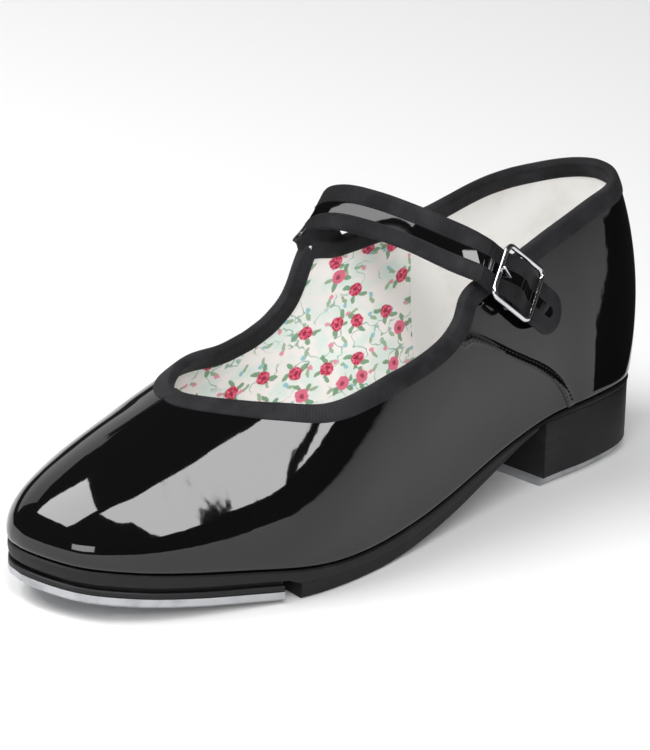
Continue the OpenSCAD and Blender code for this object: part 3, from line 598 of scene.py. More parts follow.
@dataclass(frozen=True)
class Metal:
    """Cast or plated metal with fine scratches and duller patches."""

    name: str
    colour: str
    dull: str
    roughness: float
    scratch: float = 0.3

    def build(self) -> bpy.types.Material:
        """Returns the material."""
        s = Shader(self.name)
        at = s.objects()
        stretched = s.add("ShaderNodeMapping", {"Vector": at, "Scale": (1.0, 9.0, 9.0)}).outputs[0]
        lines = s.noise(stretched, 260, 4, 0.7)
        cloud = s.ramp(s.noise(at, 120, 4, 0.6), 0.4, 0.7)
        rough = s.math("ADD", s.math("MULTIPLY", cloud, 0.12), self.roughness)
        colour = s.mix(s.math("MULTIPLY", cloud, 0.5), linear(self.colour), linear(self.dull))
        return s.finish(base_color=colour, metallic=1.0, roughness=rough,
                        normal=s.bump(lines, 0.00005, self.scratch))


class Finishes:
    """Every finish of the shoe, made once."""

    def __init__(self) -> None:
        """Builds the materials."""
        self.patent = PatentLeather().build()
        self.tape = RibbedTape().build()
        self.floral = FloralCotton().build()
        self.plain = PlainLining().build()
        self.rubber = Matte("black rubber", "#101012", "#2a2a2d", 0.55).build()
        self.board = Matte("black fibre board", "#131315", "#2e2e31", 0.5, 700).build()
        self.thread = Matte("black thread", "#1a1a1d", "#34343a", 0.55, 3000).build()
        self.backing = Matte("black backing cloth", "#17171a", "#2b2b30", 0.8, 2200).build()
        self.fibre = Matte("stiffener board", "#a39170", "#bba985", 0.8).build()
        self.cork = Matte("cork filler", "#8a6a4a", "#a3835c", 0.9).build()
        self.tap = Metal("cast aluminium", "#b9babd", "#8f9195", 0.36, 0.5).build()
        self.nickel = Metal("nickel plate", "#dcdcdf", "#c2c2c8", 0.07, 0.12).build()
        self.steel = Metal("bright steel", "#b9bbbf", "#8d8f94", 0.3).build()


# ---------------------------------------------------------------------------------------------- the upper


@dataclass
class Upper:
    """Patent vamp and quarters over their linings."""

    patent_t: float = 1.2
    lining_depth: float = 2.1
    lining_t: float = 0.7
    seam: tuple[Table, Table] = (
        Table(((0, 42), (0.11, 46), (0.2, 50.5), (0.33, 59.5), (0.45, 69), (0.58, 79), (0.716, 88.6),
               (0.85, 95), (1, 100))),
        Table(((0, 45), (0.12, 47), (0.25, 51), (0.39, 58), (0.48, 68), (0.55, 80), (0.6, 95), (0.63, 108),
               (0.66, 115), (0.75, 118.8), (0.875, 121.6), (0.95, 126), (1, 131))),
    )
    lap: float = 0.55
    lap_length: float = 5.0
    tuck: float = 2.4
    tuck_share: float = 0.55
    join: float = 70.0
    join_gap: float = 0.6
    front: float = 133.0
    fan_cells: int = 110
    cloth_shift: float = 300.0
    rows: int = 64

    def heights(self) -> np.ndarray:
        """Shares of the wall's height, closer together at the feather edge."""
        return np.linspace(0, 1, self.rows + 1) ** 1.15

    def stations(self) -> np.ndarray:
        """Common stations from the end of the fan to the toe."""
        t = LAST.share(np.array([self.front]), Side.LATERAL)[0]
        spread = LAST.outline(np.linspace(t, LAST.toe_share, 110))[:, 0]
        near = LAST.throat - 14 * np.linspace(0, 1, 40) ** 2
        s = np.unique(np.round(np.concatenate([[self.front], spread, near, [LAST.tip]]), 3))
        s = s[(s >= self.front) & (s <= LAST.tip)]
        return s[np.concatenate([[True], np.diff(s) > 0.02])]

    def points(self, s: np.ndarray, a: np.ndarray, side: Side, depth: float) -> np.ndarray:
        """Points in the part's frame at stations s and height shares a, that deep under the outer face."""
        t = LAST.share(s, side)
        w = a * LAST.height_share(s, side)
        base = LAST.surface(t, w)
        normal = LAST.normal(t, w)
        on_ridge = ((s >= LAST.throat - 1e-6) & (w > 0.9999))[..., None]
        base = np.where(on_ridge, LAST.ridge(s), base)
        rs = LAST.spine(s)
        pitch = (LAST.ridge_z(rs + 1) - LAST.ridge_z(rs - 1)) / 2
        upright = unit(np.stack([-pitch, np.zeros_like(pitch), np.ones_like(pitch)], -1))
        normal = np.where(on_ridge, upright, normal)
        foot = base[..., 2] - LAST.feather_z(s)
        return base - normal * (depth + self.curl(foot))[..., None]

    def curl(self, foot: np.ndarray) -> np.ndarray:
        """How far the leather turns in at a height above the feather edge."""
        up = np.clip(foot / self.tuck, 0, 1)
        return self.tuck * (1 - np.sqrt(np.clip(1 - (1 - up) ** 2, 0, 1))) * self.tuck_share

    def coordinate(self, s: np.ndarray, a: np.ndarray, side: Side) -> np.ndarray:
        """Millimetres along and up the cloth."""
        t = LAST.share(s, side)
        p = LAST.surface(t, a * LAST.height_share(s, side))
        turn = 1 if side else -1
        return np.stack([p[..., 0] * turn + self.cloth_shift * side, p[..., 2] + 0.35 * p[..., 1] * turn], -1)

    def run(self, start: Callable[[np.ndarray, Side], np.ndarray], shift: float) -> tuple:
        """Stations, sides and heights of a forepart from one seam round the toe to the other."""
        a = self.heights()
        k = np.linspace(0, 1, self.fan_cells + 1)[:-1, None]
        fans = []
        for side in Side:
            edge = start(a, side)[None, :] + shift
            fans.append(edge + (self.front - edge) * k ** 1.15)
        common = np.repeat(self.stations()[:, None], len(a), 1)
        lateral = np.concatenate([fans[0], common])
        medial = np.concatenate([fans[1], common[:-1]])[::-1]
        return lateral, medial, a

    def forepart(self, name: str, start: Callable[[np.ndarray, Side], np.ndarray], shift: float, outer: float,
                 inner: float) -> bpy.types.Object:
        """Builds one sheet of the forepart."""
        lateral, medial, a = self.run(start, shift)
        builder = MeshBuilder(name)
        grids = []
        for depth in (outer, inner):
            grids.append(np.concatenate([
                self.points(lateral, np.broadcast_to(a, lateral.shape), Side.LATERAL, depth),
                self.points(medial, np.broadcast_to(a, medial.shape), Side.MEDIAL, depth)]))
        coord = np.concatenate([
            self.coordinate(lateral, np.broadcast_to(a, lateral.shape), Side.LATERAL),
            self.coordinate(medial, np.broadcast_to(a, medial.shape), Side.MEDIAL)])
        sewn = np.concatenate([lateral[:, -1], medial[:, -1]]) >= LAST.throat - 1e-6
        builder.shell(LAST.place(grids[0]), LAST.place(grids[1]), coord, sewn)
        return builder.make()

    def quarter(self, name: str, side: Side, end: Callable[[np.ndarray], np.ndarray], outer: float,
                inner: float, lap: float, cells: int = 150) -> bpy.types.Object:
        """Builds one side of the rear, from the middle of the back to its front edge."""
        a = self.heights()
        k = np.linspace(0, 1, cells + 1)[:, None]
        limit = LAST.share(end(a), side)[None, :]
        back = float(side)
        t = back + (limit - back) * k
        s = np.maximum(LAST.outline(t)[..., 0], 0)
        w = a * LAST.height_share(s, side)
        base, normal = LAST.surface(t, w), LAST.normal(t, w)
        foot = base[..., 2] - LAST.feather_z(s)
        curl = self.curl(foot)
        gap = np.clip((end(a)[None, :] - s) / self.lap_length, 0, 1)
        raised = lap * (1 - gap**2 * (3 - 2 * gap))
        raised = raised * np.clip(1.2 - np.abs(1 - gap) ** 14, 0, 1)
        outer_grid = base - normal * (outer + curl - raised)[..., None]
        inner_grid = base - normal * (inner + curl - raised)[..., None]
        coord = np.stack([base[..., 0] * (1 if side else -1) + self.cloth_shift * side, base[..., 2]], -1)
        builder = MeshBuilder(name)
        builder.shell(LAST.place(outer_grid), LAST.place(inner_grid), coord)
        return builder.make()

    def build(self, finishes: Finishes) -> None:
        """Builds the vamp, the quarters and the linings."""
        vamp = self.forepart("vamp_patent", lambda a, side: self.seam[side](a), -3.0, 0.0, self.patent_t)
        dress(vamp, finishes.patent, "shoe", ["vamp"])
        for side in Side:
            label = side.name.lower()
            piece = self.quarter(f"quarter_{label}_patent", side, lambda a, n=side: self.seam[n](a), 0.0,
                                 self.patent_t, self.lap)
            dress(piece, finishes.patent, "shoe", [f"quarter_{label}"])
        deep = self.lining_depth + self.lining_t
        lining = self.forepart("vamp_lining_cotton", lambda a, side: np.full_like(a, self.join), 0.0,
                              self.lining_depth, deep)
        dress(lining, finishes.floral, "shoe", ["vamp_lining"])
        for side in Side:
            piece = self.quarter(f"quarter_lining_{side.name.lower()}", side,
                                 lambda a: np.full_like(a, self.join + self.join_gap),
                                 self.lining_depth, deep + 0.12, 0.0)
            dress(piece, finishes.plain, "shoe", ["quarter_lining"])

    def seam_line(self, side: Side, back: float, lift: float,
                  count: int = 160) -> tuple[np.ndarray, np.ndarray]:
        """A line of points and normals that runs that far behind the side seam."""
        a = np.linspace(0.05, 0.955, count)
        s = self.seam[side](a) - back
        t = LAST.share(s, side)
        w = a * LAST.height_share(s, side)
        n = LAST.normal(t, w)
        return LAST.place(LAST.surface(t, w) + n * lift), mirrored(n)


def mirrored(n: np.ndarray) -> np.ndarray:
    """A direction in station coordinates as one in the part's frame."""
    return n * np.array([-1.0, 1.0, 1.0])


@dataclass
class Binding:
    """Ribbed tape folded over the topline."""

    width: float = 5.3
    rib_pitch: float = 0.95
    rib_height: float = 0.13
    samples: int = 6
    outer: float = -0.42
    inner: float = 3.35

    def profile(self) -> np.ndarray:
        """Section of the tape: (distance below the edge, depth), with a rib weight."""
        middle = (self.outer + self.inner) / 2
        radius = (self.inner - self.outer) / 2
        turn = np.radians(np.linspace(90, 270, 13)[1:-1])
        rows = [(self.width, 0.3, 0), (self.width, self.outer + 0.22, 0.6), (self.width - 0.3, self.outer, 1)]
        rows += [(q, self.outer - 0.12 * math.sin(math.pi * q / self.width), 1)
                 for q in np.linspace(self.width - 1, 0.3, 6)]
        rows += [(1.15 * math.cos(a) + 0.1, middle - radius * math.sin(a), 1) for a in turn]
        rows += [(q, self.inner, 1) for q in np.linspace(0.3, self.width - 0.4, 5)]
        rows += [(self.width, self.inner - 0.2, 0.6), (self.width, self.inner - 0.8, 0)]
        return np.array(rows)

    def sweep(self, name: str, t: np.ndarray, w: np.ndarray) -> bpy.types.Object:
        """Sweeps the section along the edge given by t and w."""
        edge = LAST.surface(t, w)
        length = np.concatenate([[0], np.cumsum(np.linalg.norm(np.diff(edge, axis=0), axis=1))])
        count = int(length[-1] / self.rib_pitch) * self.samples
        at = np.linspace(0, length[-1], count)
        step = np.interp(at, length, np.arange(len(t)))
        i = np.clip(step.astype(int), 0, len(t) - 2)
        f = step - i
        jump = (t[i + 1] - t[i] + 0.5) % 1.0 - 0.5
        tt = t[i] + jump * f
        ww = w[i] + (w[i + 1] - w[i]) * f
        point = edge[i] + (edge[i + 1] - edge[i]) * f[:, None]
        tangent = unit(np.gradient(point, axis=0))
        for _ in range(3):
            tangent = unit((np.roll(tangent, 1, 0) + tangent + np.roll(tangent, -1, 0))[1:-1])
            tangent = np.concatenate([tangent[:1], tangent, tangent[-1:]])
        normal = LAST.normal(tt, ww)
        down = unit(np.cross(tangent, normal))
        a = (LAST.surface(tt + 0.001, ww) - LAST.surface(tt - 0.001, ww)) / 0.002
        b = (LAST.surface(tt, ww + 0.002) - LAST.surface(tt, ww - 0.002)) / 0.004
        aa, bb, ab = (a * a).sum(1), (b * b).sum(1), (a * b).sum(1)
        ad, bd = (a * down).sum(1), (b * down).sum(1)
        det = aa * bb - ab * ab
        dt, dw = (ad * bb - bd * ab) / det, (aa * bd - ab * ad) / det
        prof = self.profile()
        q, depth, weight = prof[:, 0], prof[:, 1], prof[:, 2]
        gt = tt[:, None] + dt[:, None] * np.maximum(q, 0)
        gw = ww[:, None] + dw[:, None] * np.maximum(q, 0)
        base = LAST.surface(gt, gw)
        base = base + down[:, None, :] * np.minimum(q, 0)[None, :, None]
        phase = at / self.rib_pitch
        rib = self.rib_height * (np.abs(np.sin(np.pi * phase)) ** 0.7 - 0.6)
        out = np.sign((self.outer + self.inner) / 2 - depth)
        reach = np.where(np.abs((self.outer + self.inner) / 2 - depth) < 0.4, 0, out)
        deep = depth[None, :] - rib[:, None] * (weight * reach)[None, :]
        grid = base - LAST.normal(gt, gw) * deep[..., None]
        edge_rib = (np.minimum(q, 0) < -0.3) * weight
        grid = grid - down[:, None, :] * (rib[:, None] * edge_rib[None, :])[..., None]
        builder = MeshBuilder(name)
        builder.tube(LAST.place(grid))
        return builder.make(crease=75)

    def path(self, parts: Sequence[tuple[np.ndarray, Side]]) -> tuple[np.ndarray, np.ndarray]:
        """Outline and rib shares along the topline for runs of (stations, side)."""
        t = np.concatenate([LAST.share(s, side) for s, side in parts])
        w = np.concatenate([LAST.height_share(s, side) for s, side in parts])
        return t, w

    def build(self, finishes: Finishes) -> None:
        """Builds the throat's and the collar's binding."""
        rise = np.linspace(0, 1, 90)
        front = LAST.throat - 14 * (1 - rise) ** 2
        throat = self.path([(np.arange(85.2, 176, 0.5), Side.LATERAL), (front[1:-1], Side.LATERAL),
                            (front[::-1], Side.MEDIAL), (np.arange(175.5, 115.4, -0.25), Side.MEDIAL)])
        piece = self.sweep("throat_binding_tape", *throat)
        dress(piece, finishes.tape, "shoe", ["throat_binding"])
        u = np.linspace(0, 1, 260)[1:]
        medial = LAST.share(np.array([115.2]), Side.MEDIAL)[0]
        lateral = LAST.share(np.array([85.0]), Side.LATERAL)[0]
        t = np.concatenate([medial + (1 - medial) * u, lateral * u])
        s = np.maximum(LAST.outline(t)[:, 0], 0)
        w = np.where(LAST.side_of(t), LAST.height_share(s, Side.MEDIAL), LAST.height_share(s, Side.LATERAL))
        piece = self.sweep("collar_binding_tape", t, w)
        dress(piece, finishes.tape, "shoe", ["collar_binding"])


# ---------------------------------------------------------------------------------------------- the strap


@dataclass
class Strap:
    """Instep strap: patent between two ribbed edge tapes, and its free end."""

    rows: Rows = (
        (-90.5, 112, 24.4, 82.8, 0.997, 0.06, 0.05), (-85.3, 112, 23.5, 87.9, 0.997, 0.03, 0.05),
        (-79.6, 112.6, 23.6, 93.5, 0.86, 0.02, -0.5),
        (-74.2, 110.5, 22.3, 98.3, 0.5, 0, -0.87), (-66.7, 106.3, 16.5, 100.4, 0.4, 0, -0.92),
        (-55.7, 99.5, 8, 99, 0.36, 0, -0.93), (-42.8, 92, -2, 95.8, 0.3, 0.1, -0.95),
        (-28.4, 86.5, -15, 92.8, 0.42, 0, -0.91), (-15, 81.5, -28.65, 90.1, 0.664, -0.371, -0.649),
        (-12, 79.33, -28.95, 88.06, 0.664, -0.371, -0.649), (0, 70.66, -30.15, 79.86, 0.664, -0.371, -0.649),
        (12, 61.98, -31.35, 71.66, 0.664, -0.371, -0.649), (14, 60.53, -31.55, 70.3, 0.664, -0.371, -0.649),
        (19, 56.9, -31.6, 66.9, 0.664, -0.371, -0.649), (28, 50.3, -30.7, 60.8, 0.664, -0.371, -0.649),
    )
    half: float = 7.5
    rise: float = 3.3
    pitch: float = 9.25
    start: float = -89.8
    split: float = 11.8
    end: float = 26.6
    inner: float = 1.75
    root: float = -75.0
    root_rear: float = 9.0
    root_front: float = -3.5
    rib_pitch: float = 0.95
    rib_height: float = 0.12

    def axes(self, x: np.ndarray) -> tuple[np.ndarray, np.ndarray, np.ndarray]:
        """Middle line, across and up directions at x along the strap."""
        columns = [Table(tuple((r[0], r[k]) for r in self.rows)) for k in range(1, 7)]
        mid = np.stack([columns[k](x) for k in range(3)], -1)
        across = unit(np.stack([columns[k](x) for k in range(3, 6)], -1))
        ahead = np.stack([columns[k](x + 0.5) - columns[k](x - 0.5) for k in range(3)], -1)
        return mid, across, unit(np.cross(ahead, across))

    def at(self, x: np.ndarray, y: np.ndarray, z: np.ndarray) -> np.ndarray:
        """Points of the strap: x along, y across, z above its outer face."""
        mid, across, up = self.axes(x)
        bump = np.where(np.abs(x) < self.pitch, self.rise * (1 + np.cos(np.pi * x / self.pitch)) / 2, 0.0)
        return mid + across * np.asarray(y)[..., None] + up * (z + bump)[..., None]

    def edge(self, x: np.ndarray, sign: float) -> np.ndarray:
        """Half width towards the front (sign 1) or the rear; the root widens rearwards into the collar."""
        root = np.clip((self.root - x) / (self.root - self.start), 0, 1) ** 2
        return self.half + root * (self.root_front if sign > 0 else self.root_rear)

    def rail(self) -> np.ndarray:
        """Section of an edge tape: (distance in from the edge, height, rib weight)."""
        turn = np.radians(np.linspace(90, -90, 9))
        width = self.half - self.inner
        rows = [(width, -0.1, 0), (width, 0.18, 0.5), (width - 0.25, 0.4, 1)]
        rows += [(q, 0.46, 1) for q in np.linspace(width - 0.8, 1.2, 5)]
        rows += [(0.9 - 1.15 * math.cos(a), -0.65 + 1.1 * math.sin(a), 1) for a in turn]
        rows += [(q, -1.78, 1) for q in (1.6, 3.0, width)]
        rows += [(width, -1.4, 0)]
        return np.array(rows)

    def sweep_rail(self, builder: MeshBuilder, x: np.ndarray, y: np.ndarray, ox: np.ndarray, oy: np.ndarray,
                   at: np.ndarray) -> None:
        """Sweeps an edge tape along edge points with outward directions."""
        section = self.rail()
        q, z, weight = section[:, 0], section[:, 1], section[:, 2]
        rib = self.rib_height * (np.abs(np.sin(np.pi * at / self.rib_pitch)) ** 0.7 - 0.6)
        gx = x[:, None] - ox[:, None] * q
        gy = y[:, None] - oy[:, None] * q
        gz = z[None, :] + rib[:, None] * (weight * np.where(z > -0.65, 1, -1))[None, :]
        grow = rib[:, None] * (weight * (q < 0.4))[None, :]
        builder.tube(LAST.place(self.at(gx + ox[:, None] * grow, gy + oy[:, None] * grow, gz)))

    def band(self, name: str, x: np.ndarray, front: np.ndarray, rear: np.ndarray, top: float, bottom: float,
             dome: float) -> bpy.types.Object:
        """A flat layer of the strap with a slightly domed top."""
        v = np.linspace(-1, 1, 15)
        y = np.where(v > 0, front[:, None], rear[:, None]) * v
        height = top + dome * (1 - v**2)
        outer = self.at(np.repeat(x[:, None], len(v), 1), y, np.broadcast_to(height, y.shape))
        inner = self.at(np.repeat(x[:, None], len(v), 1), y, np.full(y.shape, bottom))
        builder = MeshBuilder(name)
        builder.shell(LAST.place(outer), LAST.place(inner))
        return builder.make()

    def build(self, finishes: Finishes) -> None:
        """Builds the strap and its free end."""
        x = np.linspace(self.start, self.split, 260)
        core = self.band("strap_patent", x, self.edge(x, 1) - 1.2, self.edge(x, -1) - 1.2, 0.02, -0.7, 0.34)
        dress(core, finishes.patent, "shoe", ["strap"])
        lining = self.band("strap_backing", x, self.edge(x, 1) - 0.9, self.edge(x, -1) - 0.9,
                           -0.85, -1.72, 0.0)
        dress(lining, finishes.backing, "shoe", ["strap_lining"])
        fine = np.arange(self.start, self.split, self.rib_pitch / 6)
        rails = MeshBuilder("strap_edge_tape")
        for sign in (1.0, -1.0):
            flat = np.zeros_like(fine)
            self.sweep_rail(rails, fine, sign * self.edge(fine, sign), flat, flat + sign, fine)
        dress(rails.make(crease=75), finishes.tape, "shoe", ["strap_binding"])
        self.free_end(finishes)

    def free_end(self, finishes: Finishes) -> None:
        """Builds the rounded end past the buckle."""
        body = "strap_end"
        bend = self.end - self.half
        angle = np.radians(np.linspace(0, 180, 150))
        straight = np.arange(self.split + 0.15, bend, self.rib_pitch / 6)
        ex = np.concatenate([straight, bend + self.half * np.sin(angle), straight[::-1]])
        ey = np.concatenate([np.full_like(straight, self.half), self.half * np.cos(angle),
                             np.full_like(straight, -self.half)])
        ox = np.concatenate([np.zeros_like(straight), np.sin(angle), np.zeros_like(straight)])
        oy = np.concatenate([np.ones_like(straight), np.cos(angle), -np.ones_like(straight)])
        along = np.concatenate([[0], np.cumsum(np.hypot(np.diff(ex), np.diff(ey)))])
        tape = MeshBuilder("strap_tip_tape")
        self.sweep_rail(tape, ex, ey, ox, oy, along)
        dress(tape.make(crease=75), finishes.tape, body, ["strap_tip_binding"])
        turn = np.radians(np.linspace(0, 88, 40))
        for name, inset, top, bottom, dome, finish, slot, node in (
            ("strap_tip_patent", 1.2, 0.02, -0.7, 0.34, finishes.patent, "patent", "strap_tip"),
            ("strap_tip_backing", 0.9, -0.85, -1.72, 0.0, finishes.backing, "binding", "strap_tip_lining"),
        ):
            radius = self.half - inset
            x = np.concatenate([np.linspace(self.split + 0.15, bend, 12)[:-1], bend + radius * np.sin(turn)])
            reach = np.concatenate([np.full(11, radius), radius * np.cos(turn)])
            dress(self.band(name, x, reach, reach, top, bottom, dome), finish, body, [node])


# ---------------------------------------------------------------------------------------------- the bottom


@dataclass
class Bottom:
    """Outsole, ribbed pad, heel, and the riser and board that the metal toe tap sits on."""

    toe_spring: float = 8.8
    spring_start: float = 150.0
    spring_length: float = 92.0
    tap_t: float = 3.2
    board_t: float = 2.0
    riser_t: float = 1.2
    tap_rear: float = 172.0
    riser_rear: float = 170.0
    pad_front: float = 166.0
    pad_rear: tuple[float, float] = (55.0, 64.0)
    breast: tuple[float, float] = (52.0, 60.6)
    pad_z: Table = Table(((50, 23), (62, 19.5), (80, 12.5), (95, 7), (115, 2), (132, 0), (150, 0), (170, 0)))
    outsole_z: Table = Table(
        ((0, 24), (52, 23.4), (60, 22), (80, 15.6), (95, 10.6), (115, 6.2), (132, 4.6), (150, 4.5),
         (166, 5.4))
    )
    tread_pitch: float = 3.0
    tread_depth: float = 0.7

    def floor(self, s: np.ndarray) -> np.ndarray:
        """Height of the toe tap's underside."""
        return self.toe_spring * (np.clip(s - self.spring_start, 0, None) / self.spring_length) ** 1.6

    def under(self, s: np.ndarray) -> np.ndarray:
        """Height of the outsole's underside."""
        seat = self.floor(s) + self.tap_t + self.board_t + self.riser_t + 0.15
        share = np.clip((s - self.pad_front) / (self.riser_rear - self.pad_front), 0, 1)
        return self.outsole_z(np.minimum(s, self.pad_front)) * (1 - share) + seat * share

    def heel_top(self, s: np.ndarray) -> np.ndarray:
        """Height where the heel meets the outsole."""
        return self.outsole_z(s) + 0.05

    def loop(self, start: tuple[float, float], stop: tuple[float, float],
             count: int) -> tuple[np.ndarray, np.ndarray]:
        """Outline shares of both sides between two pairs of stations."""
        sides = []
        for side in Side:
            lo = LAST.share(np.array([start[side]]), side)[0] if start[side] > 0 else float(side)
            hi = LAST.share(np.array([stop[side]]), side)[0] if stop[side] < LAST.tip else LAST.toe_share
            sides.append((lo, hi))
        k = np.linspace(0, 1, count)
        lateral = sides[0][0] + (sides[0][1] - sides[0][0]) * k
        s = LAST.outline(lateral)[:, 0]
        spread = (s - s[0]) / (s[-1] - s[0])
        first, last_s = LAST.outline(np.array([sides[1][0], sides[1][1]]))[:, 0]
        medial = LAST.share(first + spread * (last_s - first), Side.MEDIAL)
        medial[0], medial[-1] = sides[1]
        return lateral, medial

    def slab(self, name: str, ends: tuple, layers: Sequence[tuple[float, Callable]], count: int = 200,
             tread: float = 0.0, cells: int = 12) -> bpy.types.Object:
        """A solid of layers stacked over the outline.

        Args:
            name: The object's name.
            ends: Pairs of stations where it starts and stops.
            layers: (inset, height at a station) from the bottom up.
            count: Columns along it.
            tread: Depth of the ribs across its underside.
            cells: Cells across its top and bottom.
        """
        lateral, medial = self.loop(ends[0], ends[1], count)
        builder = MeshBuilder(name)
        rims = []
        for inset, height in layers:
            pair = []
            for t in (lateral, medial):
                p = LAST.outline(t) - inset * LAST.outwards(t)
                pair.append(np.concatenate([p, height(p[:, 0])[:, None]], 1))
            rims.append(pair)
        walls = [builder.add(LAST.place(np.stack([rim[k] for rim in rims], 1))) for k in (0, 1)]
        builder.quads(walls[0])
        builder.quads(walls[1][:, ::-1])
        across = np.linspace(0, 1, cells + 1)[None, :, None]
        for level, row in ((0, 0), (-1, -1)):
            left, right = rims[level]
            grid = left[:, None] * (1 - across) + right[:, None] * across
            grid[..., 2] = layers[level][1](grid[..., 0])
            if level == 0 and tread:
                edge = np.clip(np.sin(np.pi * across[..., 0]) * 6, 0, 1)
                wave = np.abs(np.sin(np.pi * grid[..., 0] / self.tread_pitch)) ** 0.5
                grid[..., 2] = grid[..., 2] + tread * (1 - wave) * edge
            face = builder.add(LAST.place(grid))
            builder.quads(face if level == 0 else face[:, ::-1])
        for end in (0, -1):
            gap = abs(LAST.outline(lateral)[end, 0] - LAST.outline(medial)[end, 0])
            if gap > 0.5 or ends[end][0] not in (0, LAST.tip):
                front = []
                for rim in rims:
                    left, right = rim[0][end], rim[1][end]
                    row = left * (1 - across[0]) + right * across[0]
                    level = layers[len(front)][1]
                    row[:, 2] = level(row[:, 0])
                    front.append(row)
                builder.quads(builder.add(LAST.place(np.stack(front))))
        return builder.make(weld=2e-5, crease=32)

    def build(self, finishes: Finishes) -> None:
        """Builds the rubber layers of the bottom and the board under the toe tap."""
        whole = ((0, 0), (LAST.tip, LAST.tip))
        toe = ((self.tap_rear, self.tap_rear), (LAST.tip, LAST.tip))
        heel = ((0, 0), self.breast)
        top = LAST.feather_z
        low = self.floor
        dress(self.slab("outsole_rubber", whole, (
            (0.9, self.under), (0.3, lambda s: self.under(s) + 0.5),
            (0.0, lambda s: (self.under(s) + top(s)) / 2), (0.1, lambda s: top(s) - 0.6),
            (0.7, lambda s: top(s) - 0.12)), 320), finishes.rubber, "shoe", ["outsole"])
        dress(self.slab("pad_rubber", (self.pad_rear, (self.pad_front, self.pad_front)), (
            (1.5, lambda s: np.maximum(self.pad_z(s), 0)),
            (0.9, lambda s: np.maximum(self.pad_z(s), 0) + 0.7),
            (0.8, lambda s: self.outsole_z(s) + 0.05)), 700, self.tread_depth),
            finishes.rubber, "shoe", ["sole_pad"])
        seat = self.tap_t + self.board_t
        dress(self.slab("riser_board", toe, ((2.0, lambda s: low(s) + seat), (
            2.0, lambda s: low(s) + seat + self.riser_t + 0.1))),
            finishes.rubber, "shoe", ["tap_riser"])
        dress(self.slab("tap_board_fibre", toe, (
            (0.4, lambda s: low(s) + self.tap_t + 0.03), (0.1, lambda s: low(s) + self.tap_t + 0.35),
            (0.1, lambda s: low(s) + seat - 0.35), (0.4, lambda s: low(s) + seat))),
            finishes.board, "shoe", ["tap_board"])
        dress(self.slab("heel_moulding", heel, (
            (1.1, lambda s: np.full_like(s, self.tap_t + 0.05)),
            (0.8, lambda s: np.full_like(s, self.tap_t + 0.5)),
            (0.35, lambda s: self.heel_top(s) - 0.8), (0.6, self.heel_top)), 160),
            finishes.rubber, "shoe", ["heel_block"])


# ---------------------------------------------------------------------------------------------- stitches


